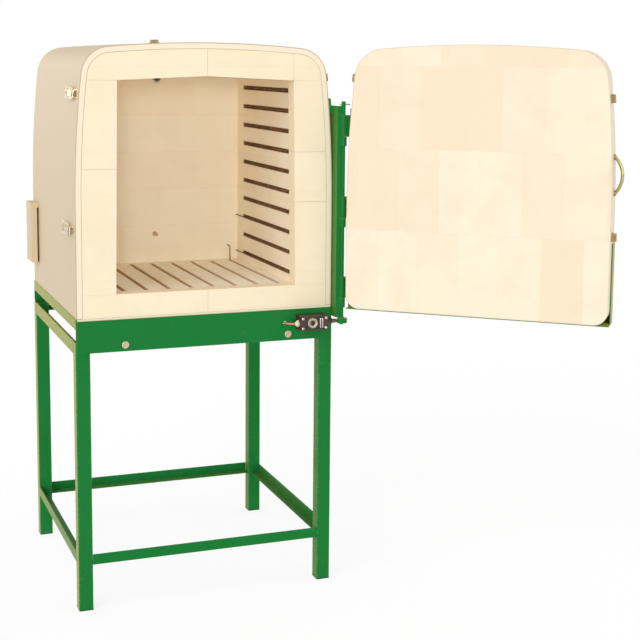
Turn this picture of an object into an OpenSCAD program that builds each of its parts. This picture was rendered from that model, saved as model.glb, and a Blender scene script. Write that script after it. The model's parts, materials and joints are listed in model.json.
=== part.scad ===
// Front-loading kiln on a square-tube stand, door standing open.
// Millimetres, +Z up, origin on the floor under the middle of the stand, front towards -Y.

/* [Stand] */
// Width across the legs
stand_w = 750; // [640:10:900]
// Depth across the legs
stand_d = 700; // [600:10:850]
// Height of the top rails above the floor
stand_h = 766; // [500:2:900]
// Outside of the square leg tube
leg = 40; // [32:1:56]
// Wall of the leg tube
leg_wall = 2.5; // [1.5:0.5:5]
// Thickness of a foot plug's flange
plug_t = 3; // [2:0.5:8]
// Length of a foot plug inside the tube
plug_in = 18; // [10:1:40]
// Clearance of a foot plug in the tube
plug_fit = 0.1; // [0.05:0.05:0.3]
// Flange of the top rails at the sides
rail = 36; // [28:1:45]
// Flange of the top rails behind the aprons
cross_rail = 28; // [24:1:36]
// Thickness of the top rails
rail_t = 4; // [3:0.5:6]
// Flange of the shelf rail angle
shelf = 30; // [20:1:40]
// Thickness of the shelf rail angle
shelf_t = 3; // [2:0.5:5]
// Height of the shelf rails above the floor
shelf_z = 132; // [80:2:300]

/* [Base] */
// Gap between the top rails and the base frame
base_gap = 36; // [32:1:60]
// Flange of the base frame angle
base = 30; // [24:1:45]
// Thickness of the base frame angle
base_t = 3; // [2:0.5:5]
// Thickness of the pan under the insulation
pan_t = 1.5; // [1:0.5:3]
// Thickness of the apron plates
apron_t = 4; // [3:0.5:8]
// How far the aprons reach down over the top rails
apron_lap = 30; // [24:1:38]
// Apron top below the base frame's top
apron_drop = 6; // [2:1:12]
// Apron ends set in from the stand's sides
apron_in = 3; // [1:1:10]
// Apron bolts in from the stand's sides
bolt_in = 137; // [90:1:200]
// Diameter of the apron bolts
bolt_d = 8; // [6:1:10]
// Clearance of a bolt in its holes
bolt_fit = 0.3; // [0.2:0.1:0.8]
// Diameter of the bolt washers
washer_d = 20; // [18:1:28]
// Thickness of the bolt washers
washer_t = 2; // [1:0.5:3]

/* [Body] */
// Body sides set in from the stand's sides
body_in = 3; // [2:0.5:10]
// Jacket sheet
jacket_t = 1; // [0.8:0.1:2]
// Fibre between jacket and bricks
fibre_t = 17; // [10:1:24]
// Fibre behind the back wall
back_fibre_t = 29; // [15:1:50]
// Height of the straight lower part of the sides
straight_h = 300; // [200:5:360]
// Radius of the leaning upper part of the sides
side_r = 3250; // [2500:50:6000]
// Radius of the rounded shoulders
shoulder_r = 84; // [45:1:100]
// Radius of the crown
crown_r = 3000; // [1800:50:5000]

/* [Chamber] */
// Thickness of the side wall bricks
wall_t = 93; // [80:1:125]
// Thickness of the back wall bricks
back_t = 114; // [80:1:130]
// Thickness of the floor bricks
floor_t = 64; // [50:1:76]
// Height of the chamber at its side walls
chamber_h = 584; // [440:2:700]
// Rise of the roof to its ridge
gable = 12; // [6:1:30]
// Brick above the ridge
crown_t = 74; // [60:1:110]
// Lean of the jambs into the mouth at its top
mouth_lean = 8; // [0:1:12]
// Depth of the brick ring round the mouth
ring_d = 48; // [40:1:64]
// Open joints between the bricks of the ring
joint = 0.6; // [0.4:0.1:0.9]

/* [Heating] */
// Grooves in each side wall
wall_rows = 10; // [6:1:10]
// Grooves in the floor
floor_rows = 8; // [5:1:8]
// Width of a groove
groove_w = 13; // [11:0.5:18]
// Depth of a groove
groove_d = 15; // [13:0.5:24]
// Plain brick behind the wall grooves
groove_rear = 56; // [40:1:90]
// Plain brick behind the floor grooves
floor_rear = 16; // [12:1:40]
// Diameter of an element
element_d = 9; // [7:0.5:10]
// Lift of an element off its groove
element_gap = 0.2; // [0.1:0.1:0.3]
// Diameter of an element's tail
tail_d = 4; // [3:0.5:5]
// Length of a tail inside the back wall
tail_in = 45; // [20:1:70]
// Height that the floor elements' tails stand above the floor
tail_up = 45; // [20:1:80]
// Outside of the vent tube
vent_d = 26; // [22:1:36]
// Bore of the vent tube
vent_bore = 18; // [12:1:20]
// Outside of the thermocouple sheath
probe_d = 8; // [6:0.5:12]
// Reach of the thermocouple into the chamber
probe_in = 30; // [15:1:60]
// Thermocouple above the floor
probe_z = 91; // [60:1:200]
// Vent to the left of the middle
vent_x = 4; // [0:1:40]
// Thermocouple to the left of the middle
probe_x = 14; // [0:1:40]
// Clearance of tubes and tails in the brick
brick_fit = 0.3; // [0.2:0.1:0.8]

/* [Hinge] */
// Diameter of the hinge rod
rod_d = 12; // [10:0.5:14]
// Rod axis to the right of the body's side
hinge_out = 21; // [20:0.5:26]
// Rod axis in front of the body's face
hinge_fwd = 30; // [26:0.5:34]
// Running clearance of the rod in its bearings
rod_fit = 0.05; // [0.02:0.01:0.1]
// Clearance of the leaves, the cam and the split pin on the rod
seat_fit = 0.03; // [0.02:0.01:0.06]
// Outside of the bearings on the post
bearing_d = 20; // [18:0.5:21]
// Length of a bearing
bearing_l = 26; // [16:1:40]
// Outside of the leaves' knuckles
knuckle_d = 18; // [16:0.5:20]
// Height of a leaf
leaf_h = 62; // [40:1:80]
// Thickness of a leaf's strap
strap_t = 4; // [3:0.5:5]
// Lowest leaf above the body's bottom
leaf_low = 24; // [16:1:60]
// Highest leaf's lower edge below the body's top
leaf_drop = 262; // [200:1:300]
// Gap between a leaf and the bearing below it
leaf_gap = 0.4; // [0.2:0.1:0.8]
// Thickness of the post angle
post_t = 4; // [3:0.5:5]
// Base frame, and the post on it, proud of the body's side
post_gap = 2; // [2:0.5:3]
// Reach of the post along the body's side
post_back = 38; // [10:1:45]
// Angle that the door stands open at
door_open = 140; // [90:1:180]

/* [Door] */
// Gap between the door and the body's face
door_gap = 1; // [0.5:0.5:3]
// Thickness of the door's bricks
door_brick = 64; // [50:1:76]
// Fibre behind the door's bricks
door_fibre_t = 12; // [8:1:25]
// Radius of the door's lower corners
door_r = 40; // [25:1:60]
// Flange of the door's angle frame
door_angle = 40; // [30:1:50]
// Thickness of the door's angle frame
door_t = 3; // [2:0.5:3.5]
// Bottom flange back from the door's inner face
door_lip = 5; // [2:1:20]
// Height of the upright on the free edge
free_up = 223; // [120:1:224]
// Distance between the handle's feet
handle_l = 98; // [80:1:140]
// Thickness of the handle's bow
handle_d = 9; // [6:0.5:12]
// Reach of the handle's bow from the door's edge
handle_out = 27; // [24:1:40]
// Thickness of the handle's feet
handle_foot = 3; // [2:0.5:5]
// Handle below the door's top
handle_drop = 345; // [300:1:380]
// Handle back from the door's inner face
handle_y = 39; // [30:1:60]

/* [Latches] */
// Lower latch above the body's bottom
latch_low = 240; // [225:1:290]
// Upper latch below the body's top
latch_drop = 141; // [120:1:180]
// Lever's pivot back from the body's face
lever_s = 38; // [34:1:60]
// Length of a lever behind its pivot
lever_l = 54; // [40:1:60]
// Width of a lever
lever_w = 18; // [14:1:24]
// Height of the pivots above the jacket
pivot_u = 8; // [7:0.5:12]
// Diameter of the lever's pin
pin_d = 5; // [4:0.5:6]
// Diameter of the bail's wire
wire_d = 3.5; // [3:0.5:5]
// Bail's pivot behind the lever's pivot
bail_s = 18; // [14:1:24]
// Bail's crossbar in front of the body's face when swung over
bail_reach = 28; // [24:1:34]
// Running clearance of the latch pivots
pivot_fit = 0.06; // [0.02:0.01:0.1]
// Sheet of the latches and catches
latch_t = 2; // [1.5:0.5:2.5]

/* [Door switch] */
// Length of the switch housing
switch_l = 84; // [60:1:100]
// Height of the switch housing
switch_h = 42; // [38:1:56]
// Depth of the switch housing
switch_d = 43; // [40:1:60]
// Thickness of the switch cover
switch_lid = 3; // [2:0.5:5]
// Diameter of the plunger
plunger_d = 12; // [8:0.5:14]
// Running clearance of the plunger
plunger_fit = 0.05; // [0.02:0.01:0.1]
// Housing's end to the hinge axis
switch_to_hinge = 48; // [44:1:70]
// Cam's radius where the plunger meets it with the door at rest
cam_r = 14; // [12.5:0.5:15]
// Thickness of the cam
cam_t = 14; // [10:1:16]
// Plunger's travel for each half turn of the door
cam_lift = 4; // [2:0.5:5]
// Gap between the cam and the plunger
cam_gap = 0.3; // [0.2:0.1:0.5]
// Diameter of the switch lead
lead_d = 5.5; // [4:0.5:6.5]
// Bend radius of the switch lead
lead_r = 22; // [18:1:24]
// Bend radius of the lead where it rises behind the apron
lead_rise_r = 12; // [11:1:14]

/* [Terminal box] */
// Depth of the terminal cover
box_x = 23; // [20:1:40]
// Length of the terminal cover
box_y = 95; // [70:1:160]
// Height of the terminal cover
box_z = 185; // [120:1:210]
// Sheet of the terminal cover
box_t = 1.2; // [0.8:0.1:2]
// Open slot along the terminal cover's front edge
box_slot = 5; // [3:0.5:8]
// Terminal cover above the body's bottom
box_up = 73; // [40:1:85]
// Terminal cover in from the body's rear face
box_in = 5; // [2:1:40]

/* [Hidden] */
$fn = 48;

// Colours
green = [0.13, 0.50, 0.24];
tan_sheet = [0.87, 0.78, 0.65];
cream = [0.98, 0.92, 0.80];
chamber_brick = [0.88, 0.77, 0.62];
fibre_white = [0.95, 0.93, 0.88];
steel = [0.72, 0.70, 0.66];
brass = [0.75, 0.62, 0.35];
element_brown = [0.30, 0.20, 0.13];
switch_brown = [0.36, 0.24, 0.16];
salmon = [0.86, 0.55, 0.45];
dark = [0.12, 0.12, 0.12];

// Overlap that keeps cutting tools from sharing faces with what they cut
cut = 1;

// Faces of the stand and the body
left_x = -stand_w / 2;
front_y = -stand_d / 2;
rear_y = stand_d / 2;
half_w = stand_w / 2 - body_in;
base_half = half_w + post_gap;
base_z = stand_h + base_gap;
base_top = base_z + base;
pan_top = base_z + base_t + pan_t;
apron_top = base_top - apron_drop;
apron_low = stand_h - apron_lap;
skirt_low = stand_h + 4;
sheet_gap = 0.5;
pan_edge = base_half - base_t - sheet_gap;
bolt_x = stand_w / 2 - bolt_in;
bolt_z = stand_h - (cross_rail - rail_t) / 2;

// Heights and faces of the chamber
lining = jacket_t + fibre_t;
floor_z = base_top + floor_t;
wall_top = floor_z + chamber_h;
ridge_z = wall_top + gable;
body_top = ridge_z + crown_t + lining;
mouth_half = half_w - lining - wall_t;
ring_y = front_y + ring_d;
back_fibre_y = rear_y - jacket_t - back_fibre_t;
chamber_back = back_fibre_y - back_t;

// Arcs of the body's outline: leaning side, shoulder and crown
side_z = base_top + straight_h;
side_c = [half_w - side_r, side_z];
crown_c = [0, body_top - crown_r];
arc_gap = norm(crown_c - side_c);
side_reach = side_r - shoulder_r;
crown_reach = crown_r - shoulder_r;
along = (side_reach^2 - crown_reach^2 + arc_gap^2) / (2 * arc_gap);
across = sqrt(side_reach^2 - along^2);
arc_dir = (crown_c - side_c) / arc_gap;
shoulder_c = side_c + along * arc_dir + across * [-arc_dir[1], arc_dir[0]];
side_end = atan2(shoulder_c[1] - side_c[1], shoulder_c[0] - side_c[0]);
crown_start = atan2(shoulder_c[1] - crown_c[1], shoulder_c[0] - crown_c[0]);
side_steps = 8;
shoulder_steps = 12;
crown_steps = 14;

// Wall and floor grooves
row_pitch = chamber_h / wall_rows;
row_z = [for (i = [0:wall_rows - 1]) floor_z + row_pitch * (i + 0.5)];
floor_pitch = 2 * mouth_half / floor_rows;
floor_x = [for (i = [0:floor_rows - 1]) floor_pitch * (i + 0.5) - mouth_half];
groove_end = chamber_back - groove_rear;
floor_end = chamber_back - floor_rear;
tail_rows = [0, 2];
tail_proud = 4;
tail_spare = 2;
end_gap = 4;
element_lift = element_d / 2 + element_gap;
tail_y = groove_end - end_gap - tail_d;
floor_tail_y = floor_end - end_gap - tail_d;
vent_drop = 2;
vent_proud = 3;
vent_z = ridge_z - gable * vent_x / mouth_half - vent_d / 2 - vent_drop;

// Joints in the brick ring, at shares of the chamber's height and the mouth's half width
left_joint = floor_z + 0.59 * chamber_h;
right_low_joint = floor_z + 0.41 * chamber_h;
right_high_joint = floor_z + 0.655 * chamber_h;
right_corner_x = 0.965 * mouth_half;

// Hinge
hinge_x = half_w + hinge_out;
hinge_y = front_y - hinge_fwd;
leaf_bottoms = [
  base_top + leaf_low,
  (base_top + leaf_low + body_top - leaf_drop) / 2,
  body_top - leaf_drop
];
post_x = base_half;
post_front = hinge_y - post_t / 2;
post_drop = 2;
post_over = 26;
post_low = base_z - post_drop;
post_top = body_top - leaf_drop + leaf_h + post_over;
rod_over = 13;
rod_top = post_top + rod_over;
swing_gap = 0.5;
tie_h = 24;
tie_l = 20;
tie_gap = 0.2;
lug_t = 7;
lug_h = 20;

// Door faces when shut
door_in = front_y - door_gap;
door_out = door_in - door_brick - door_fibre_t - jacket_t;
frame_low = base_top - door_t;
frame_half = half_w + door_t;
flange_short = 1;
hinge_flange_y = hinge_y - knuckle_d / 2 + strap_t - flange_short;
frame_top_drop = 8;

// Latches: s runs back from the body's front face, u out from the jacket, w up along it
latch_z = [base_top + latch_low, body_top - latch_drop];
bail_pivot = lever_s + bail_s;
bail_l = bail_pivot + bail_reach;
ear_gap = 1;
ear_w = lever_w / 2 + ear_gap;
bail_gap = 1.2;
bail_w = ear_w + latch_t + bail_gap + wire_d / 2;
bail_end = 0.2;
base_w = ear_w + latch_t;
plate_fore = 34;
plate_aft = 14;
ear_over = 6;
ear_rise = 5;
lever_fore = 2;
lever_rise = 4;
cheek_l = 14;
catch_gap = 0.75;
catch_side = 1.5;
catch_w = bail_w - wire_d / 2 - catch_side;
catch_h = pivot_u + wire_d / 2 + bail_gap;
catch_fore = 16;
catch_aft = 6;
catch_lip = 3;

// Door switch and its lead
switch_x1 = hinge_x - switch_to_hinge;
switch_x0 = switch_x1 - switch_l;
apron_face = front_y - apron_t;
plunger_rise = 9;
plunger_z = (apron_low + apron_top) / 2 + plunger_rise;
switch_low = plunger_z - switch_h / 2;
switch_front = apron_face - switch_d;
collar_l = 18;
collar_t = 4;
collar_nose = 2;
collar_d = plunger_d + 2 * collar_t;
collar_tip = plunger_d + 2 * collar_nose;
plunger_back = 40;
bore_back = plunger_back + 10;
tip_x = hinge_x - cam_r - cam_gap;
cam_low = plunger_z - cam_t / 2;
cam_hub_top = post_low - leaf_gap;
rod_under = 4;
rod_low = cam_low - rod_under;
screw_d = 5;
screw_head = 8;
screw_head_t = 2;
screw_in = 7;
screw_x = [switch_x0 + screw_in, switch_x1 - screw_in];
screw_z = [switch_low + screw_in, switch_low + switch_h - screw_in];
screw_places = [for (x = screw_x, z = screw_z) [x, z]];
gland_l = 11;
gland_d = 20;
gland_neck = 9;
gland_nose = 6;
lead_drop = 2;
lead_room = 2;
lead_in = 20;
lead_z = plunger_z - lead_drop;
lead_x = switch_x0 - gland_l;
lead_hole_x = lead_x - lead_r;
lead_hole_d = lead_d + 2 * lead_room;
lead_turn_y = hinge_y + lead_r;
lead_rise_y = front_y + base + lead_in;

// Terminal box and clamps
box_y1 = rear_y - box_in;
box_y0 = box_y1 - box_y;
box_low = base_top + box_up;
slot_head = 14;
clamp_under = 8;
clamp_z = side_z + side_r * sin(side_end) - clamp_under;
clamp_top_x = -146;
clamp_y = 8;
clamp_door = 16;

// Outline points of the right half, from the bottom up to the crown's middle
function polar(r, angle) = r * [cos(angle), sin(angle)];
function arc(c, r, from, to, steps) = [for (i = [0:steps]) c + polar(r, from + (to - from) * i / steps)];
function half_outline(inset, low, corner) = concat(
  corner > 0
    ? arc([half_w - corner, low + corner], corner - inset, -90, 0, shoulder_steps)
    : [[half_w - inset, low]],
  arc(side_c, side_r - inset, 0, side_end, side_steps),
  arc(shoulder_c, shoulder_r - inset, side_end, crown_start, shoulder_steps),
  arc(crown_c, crown_r - inset, crown_start, 90, crown_steps)
);
function mirrored(points) = [for (i = [len(points) - 1:-1:0]) [-points[i][0], points[i][1]]];

// Half width and lean of the outline at a height
function side_at(z) = z > side_z ? side_c[0] + sqrt(side_r^2 - (z - side_z)^2) : half_w;
function lean_at(z) = z > side_z ? asin((z - side_z) / side_r) : 0;

// Half width of the mouth at a height
function mouth_at(z) = mouth_half - mouth_lean * (z - floor_z) / chamber_h;

module outline(inset, low, corner = 0) {
  right = half_outline(inset, low, corner);
  polygon(concat(right, mirrored(right)));
}

// Extrudes an X-Z outline between two depths
module slab(y0, y1) {
  translate([0, y1, 0]) rotate([90, 0, 0]) linear_extrude(y1 - y0) children();
}

module box(low, high) {
  translate(low) cube(high - low);
}

module rod_x(x0, x1, d, y, z) {
  translate([x0, y, z]) rotate([0, 90, 0]) cylinder(h = x1 - x0, d = d);
}

module rod_y(y0, y1, d, x, z) {
  translate([x, y1, z]) rotate([90, 0, 0]) cylinder(h = y1 - y0, d = d);
}

// Angle section: upright flange on the left, level flange at the bottom
module angle(flange, t) {
  polygon([[0, 0], [flange, 0], [flange, t], [t, t], [t, flange], [0, flange]]);
}

// Pair of angles running from side to side, flanges outwards and at the bottom
module cross_pair(length, half_depth, z, flange, t) {
  for (rear = [0, 1]) mirror([0, rear, 0])
    translate([-length / 2, -half_depth, z]) rotate([90, 0, 90]) linear_extrude(length) angle(flange, t);
}

// Pair of angles running from front to back
module side_pair(length, half_width, z, flange, t) {
  for (right = [0, 1]) mirror([right, 0, 0])
    translate([-half_width, length / 2, z]) rotate([90, 0, 0]) linear_extrude(length) angle(flange, t);
}

// Places children on the left side of the outline at a height, s = Y, -u = X, w = Z
module on_left_side(z) {
  translate([-side_at(z), front_y, z]) rotate([0, lean_at(z), 0]) children();
}

// Swings the shut door to where it stands at rest
module door_pose() {
  translate([hinge_x, hinge_y, 0]) rotate([0, 0, door_open]) translate([-hinge_x, -hinge_y, 0]) children();
}

// Stand
module leg_tube(sx, sy) {
  x = sx > 0 ? stand_w / 2 - leg : left_x;
  y = sy > 0 ? rear_y - leg : front_y;
  color(green) difference() {
    translate([x, y, plug_t]) cube([leg, leg, stand_h - plug_t]);
    translate([x + leg_wall, y + leg_wall, 0]) cube([leg - 2 * leg_wall, leg - 2 * leg_wall, stand_h + cut]);
  }
}

module leg_front_left() { leg_tube(-1, -1); }
module leg_front_right() { leg_tube(1, -1); }
module leg_rear_left() { leg_tube(-1, 1); }
module leg_rear_right() { leg_tube(1, 1); }

module foot_plugs() {
  inner = leg - 2 * leg_wall - 2 * plug_fit;
  color(dark) for (x = [left_x, stand_w / 2 - leg], y = [front_y, rear_y - leg]) {
    translate([x, y, 0]) union() {
      cube([leg, leg, plug_t]);
      translate([(leg - inner) / 2, (leg - inner) / 2, 0]) cube([inner, inner, plug_t + plug_in]);
    }
  }
}

module bolt_holes() {
  for (x = [-bolt_x, bolt_x])
    rod_y(-stand_d, stand_d, bolt_d + 2 * bolt_fit, x, bolt_z);
}

module top_cross_rails() {
  color(green) difference() {
    cross_pair(stand_w - 2 * leg, stand_d / 2, stand_h - cross_rail, cross_rail, rail_t);
    bolt_holes();
  }
}

module top_side_rails() {
  color(green) side_pair(stand_d - 2 * leg, stand_w / 2, stand_h - rail, rail, rail_t);
}

module shelf_cross_rails() {
  color(green) cross_pair(stand_w - 2 * leg, stand_d / 2, shelf_z, shelf, shelf_t);
}

module shelf_side_rails() {
  color(green) side_pair(stand_d - 2 * leg, stand_w / 2, shelf_z, shelf, shelf_t);
}

// Base
module lead_hole() {
  rod_y(apron_face - cut, front_y + base_t + cut, lead_hole_d, lead_hole_x, lead_z);
}

module base_frame() {
  color(green) difference() {
    union() {
      side_pair(stand_d, base_half, base_z, base, base_t);
      for (rear = [0, 1]) mirror([0, rear, 0]) {
        box([-base_half, front_y, base_z], [base_half, front_y + base, base_z + base_t]);
        box([-base_half, front_y, skirt_low], [base_half, front_y + base_t, base_z]);
      }
    }
    lead_hole();
  }
}

module base_pan() {
  color(steel)
    box([-pan_edge, front_y + sheet_gap, base_z + base_t], [pan_edge, rear_y - sheet_gap, pan_top]);
}

module apron(y0) {
  half = stand_w / 2 - apron_in;
  difference() {
    box([-half, y0, apron_low], [half, y0 + apron_t, apron_top]);
    bolt_holes();
  }
}

module front_apron() {
  color(green) difference() {
    apron(apron_face);
    lead_hole();
  }
}

module rear_apron() { color(green) apron(rear_y); }

module apron_bolts() {
  head_t = 6;
  head_d = 1.6 * bolt_d;
  nut_t = 8;
  nut_d = 1.8 * bolt_d;
  end = 2;
  face = rear_y + apron_t + washer_t;
  inside = rear_y - rail_t;
  color(brass) for (x = [-bolt_x, bolt_x], rear = [0, 1]) mirror([0, rear, 0]) union() {
    rod_y(-face - head_t, -inside + nut_t + end, bolt_d, x, bolt_z);
    rod_y(-face - head_t, -face, head_d, x, bolt_z);
    translate([x, -inside + nut_t, bolt_z]) rotate([90, 0, 0]) cylinder(h = nut_t, d = nut_d, $fn = 6);
  }
}

module apron_washers() {
  face = rear_y + apron_t;
  color(steel) for (x = [-bolt_x, bolt_x], rear = [0, 1]) mirror([0, rear, 0]) difference() {
    rod_y(-face - washer_t, -face, washer_d, x, bolt_z);
    rod_y(-face - washer_t - cut, -face + cut, bolt_d + 2 * bolt_fit, x, bolt_z);
  }
}

// Body
module jacket() {
  color(tan_sheet) difference() {
    slab(front_y, rear_y - jacket_t) outline(0, base_top);
    slab(front_y - cut, rear_y) outline(jacket_t, base_top - cut);
  }
}

module rear_panel() {
  color(tan_sheet) difference() {
    slab(rear_y - jacket_t, rear_y) outline(0, base_top);
    back_holes();
  }
}

module fibre_blanket() {
  color(fibre_white) difference() {
    slab(front_y, back_fibre_y) outline(jacket_t, base_top);
    slab(front_y - cut, rear_y) outline(lining, base_top - cut);
  }
}

module back_fibre() {
  color(fibre_white) difference() {
    slab(back_fibre_y, rear_y - jacket_t) outline(jacket_t, base_top);
    back_holes();
  }
}

module floor_board() {
  color(fibre_white) box([-pan_edge, front_y, pan_top], [pan_edge, rear_y - jacket_t, base_top]);
}

module floor_bricks() {
  edge = half_w - lining;
  color(chamber_brick) difference() {
    box([-edge, ring_y, base_top], [edge, back_fibre_y, floor_z]);
    for (x = floor_x)
      box([x - groove_w / 2, ring_y - cut, floor_z - groove_d], [x + groove_w / 2, floor_end, floor_z + cut]);
  }
}

module wall(side) {
  color(chamber_brick) difference() {
    slab(ring_y, chamber_back) intersection() {
      outline(lining, floor_z);
      translate([side > 0 ? mouth_half : -stand_w, floor_z]) square([stand_w - mouth_half, chamber_h]);
    }
    for (z = row_z) {
      x = side > 0 ? mouth_half - cut : -mouth_half - groove_d;
      size = [groove_d + cut, groove_end - ring_y + cut, groove_w];
      translate([x, ring_y - cut, z - groove_w / 2]) cube(size);
    }
  }
}

module left_wall() { wall(-1); }
module right_wall() { wall(1); }

// Ways through the back for the vent, the thermocouple and the element tails
module back_holes() {
  rod_y(chamber_back - cut, rear_y + cut, vent_d + 2 * brick_fit, -vent_x, vent_z);
  rod_y(chamber_back - cut, rear_y + cut, probe_d + 2 * brick_fit, -probe_x, floor_z + probe_z);
}

module back_wall() {
  color(chamber_brick) difference() {
    slab(chamber_back, back_fibre_y) outline(lining, floor_z);
    back_holes();
    for (side = [-1, 1], row = tail_rows)
      tail_hole(side * (mouth_half - tail_proud), row_z[row] - groove_w / 2 + element_lift);
    for (x = [floor_x[0], floor_x[floor_rows - 1]])
      tail_hole(x, floor_z + tail_up);
  }
}

module tail_hole(x, z) {
  rod_y(chamber_back - cut, chamber_back + tail_in + tail_spare, tail_d + 2 * brick_fit, x, z);
}

// Half of the space above the walls and the gabled roof line
module roof_half(side) {
  far = stand_w;
  high = body_top + cut;
  points = [[0, ridge_z], [mouth_half, wall_top], [far, wall_top], [far, high], [0, high]];
  intersection() {
    outline(lining, wall_top);
    polygon([for (p = points) [side * p[0], p[1]]]);
  }
}

module roof_slabs() {
  color(chamber_brick) for (side = [-1, 1])
    slab(ring_y, chamber_back) difference() {
      roof_half(side);
      translate([-joint / 2, 0]) square([joint, 2 * body_top]);
    }
}

// Brick under the mouth: the lining's outline between two sides
module sill_brick(x0, x1) {
  slab(front_y, ring_y) intersection() {
    outline(lining, base_top);
    translate([x0, base_top]) square([x1 - x0, floor_t - joint / 2]);
  }
}

// Brick beside the mouth, between two heights
module jamb_brick(side, z0, z1) {
  points = [[mouth_at(z0), z0], [stand_w, z0], [stand_w, z1], [mouth_at(z1), z1]];
  slab(front_y, ring_y) intersection() {
    outline(lining, base_top);
    polygon([for (p = points) [side * p[0], p[1]]]);
  }
}

module left_jamb() {
  color(cream) {
    jamb_brick(-1, floor_z, left_joint - joint / 2);
    jamb_brick(-1, left_joint + joint / 2, wall_top - joint / 2);
  }
}

module right_jamb() {
  color(cream) {
    jamb_brick(1, floor_z, right_low_joint - joint / 2);
    jamb_brick(1, right_low_joint + joint / 2, right_high_joint - joint / 2);
    jamb_brick(1, right_high_joint + joint / 2, wall_top - joint / 2);
  }
}

module lintel() {
  color(cream) slab(front_y, ring_y) {
    difference() {
      roof_half(-1);
      translate([-joint / 2, 0]) square([joint, 2 * body_top]);
    }
    difference() {
      roof_half(1);
      translate([-joint / 2, 0]) square([joint, 2 * body_top]);
      translate([right_corner_x, 0]) square([joint, 2 * body_top]);
    }
  }
}

module sill() {
  color(cream) {
    sill_brick(-stand_w, -joint / 2);
    sill_brick(joint / 2, stand_w);
  }
}

// Heating
module wall_elements() {
  color(element_brown) for (side = [-1, 1], row = [0:wall_rows - 1]) {
    x = side * (mouth_half + groove_d / 2);
    z = row_z[row] - groove_w / 2 + element_lift;
    union() {
      rod_y(ring_y + end_gap, groove_end - end_gap, element_d, x, z);
      if (len(search(row, tail_rows)) > 0) wall_tail(side, x, z);
    }
  }
}

// Leads an element's end out of its groove and on into the back wall
module wall_tail(side, x, z) {
  tail_x = side * (mouth_half - tail_proud);
  rod_x(min(x, tail_x), max(x, tail_x), tail_d, tail_y, z);
  translate([tail_x, tail_y, z]) sphere(d = tail_d);
  rod_y(tail_y, chamber_back + tail_in, tail_d, tail_x, z);
}

module floor_elements() {
  color(element_brown) for (i = [0:floor_rows - 1]) {
    x = floor_x[i];
    z = floor_z - groove_d + element_lift;
    union() {
      rod_y(ring_y + end_gap, floor_end - end_gap, element_d, x, z);
      if (i == 0 || i == floor_rows - 1) floor_tail(x, z);
    }
  }
}

// Stands up from a floor element's end and turns into the back wall
module floor_tail(x, z) {
  top = floor_z + tail_up;
  translate([x, floor_tail_y, z]) cylinder(h = top - z, d = tail_d);
  translate([x, floor_tail_y, top]) sphere(d = tail_d);
  rod_y(floor_tail_y, chamber_back + tail_in, tail_d, x, top);
}

module vent_tube() {
  color(cream) difference() {
    rod_y(chamber_back - vent_proud, rear_y + vent_proud, vent_d, -vent_x, vent_z);
    rod_y(chamber_back - 2 * vent_proud, rear_y + 2 * vent_proud, vent_bore, -vent_x, vent_z);
  }
}

module thermocouple() {
  head_d = 36;
  head_l = 40;
  flange_d = 50;
  flange_t = 4;
  z = floor_z + probe_z;
  color(steel) union() {
    rod_y(chamber_back - probe_in, rear_y + head_l, probe_d, -probe_x, z);
    translate([-probe_x, chamber_back - probe_in, z]) sphere(d = probe_d);
    rod_y(rear_y, rear_y + head_l, head_d, -probe_x, z);
    rod_y(rear_y, rear_y + flange_t, flange_d, -probe_x, z);
  }
}

// Terminal box on the left side
module terminal_block() {
  ways = 3;
  block_x = 15;
  block_half = 13;
  rib = 3;
  slot_x = 6;
  pitch = 34;
  length = ways * pitch;
  z = box_low + (box_z - length) / 2;
  y = (box_y0 + box_y1) / 2;
  color(cream) difference() {
    box([-half_w - block_x, y - block_half, z], [-half_w, y + block_half, z + length]);
    for (i = [0:ways - 1])
      box([-half_w - block_x - cut, y - block_half - cut, z + i * pitch + rib],
          [-half_w - block_x + slot_x, y + block_half + cut, z + (i + 1) * pitch - rib]);
  }
}

module terminal_cover() {
  color(tan_sheet) difference() {
    box([-half_w - box_x, box_y0, box_low], [-half_w, box_y1, box_low + box_z]);
    box([-half_w - box_x + box_t, box_y0 + box_t, box_low + box_t],
        [-half_w + cut, box_y1 - box_t, box_low + box_z - box_t]);
    box([-half_w - box_slot, box_y0 - cut, box_low + box_t],
        [-half_w + cut, box_y0 + box_t + cut, box_low + box_z - slot_head]);
  }
}

// Small screw clamp that closes a jacket band, flat side at Z = 0, along X
module band_clamp() {
  length = 26;
  width = 14;
  plate = 2;
  screw = 7;
  run = length - 2 * plate;
  rise = plate + screw / 2;
  union() {
    translate([-length / 2, 0, 0]) cube([length, width, plate]);
    translate([-run / 2, width / 4, 0]) cube([run, width / 2, rise]);
    translate([-run / 2, width / 2, rise]) rotate([0, 90, 0]) cylinder(h = run, d = screw);
  }
}

// Clamp on the right side, just under the shoulder
module side_clamp(y) {
  translate([side_at(clamp_z), y, clamp_z]) rotate([0, 90 - lean_at(clamp_z), 0]) band_clamp();
}

module jacket_clamps() {
  tilt = asin(clamp_top_x / crown_r);
  color(steel) {
    translate([clamp_top_x, front_y + clamp_y, crown_c[1] + sqrt(crown_r^2 - clamp_top_x^2)])
      rotate([0, tilt, 0]) band_clamp();
    side_clamp(front_y + clamp_y);
  }
}

module door_clamp() {
  color(steel) door_pose() side_clamp(door_in - clamp_door);
}

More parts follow.
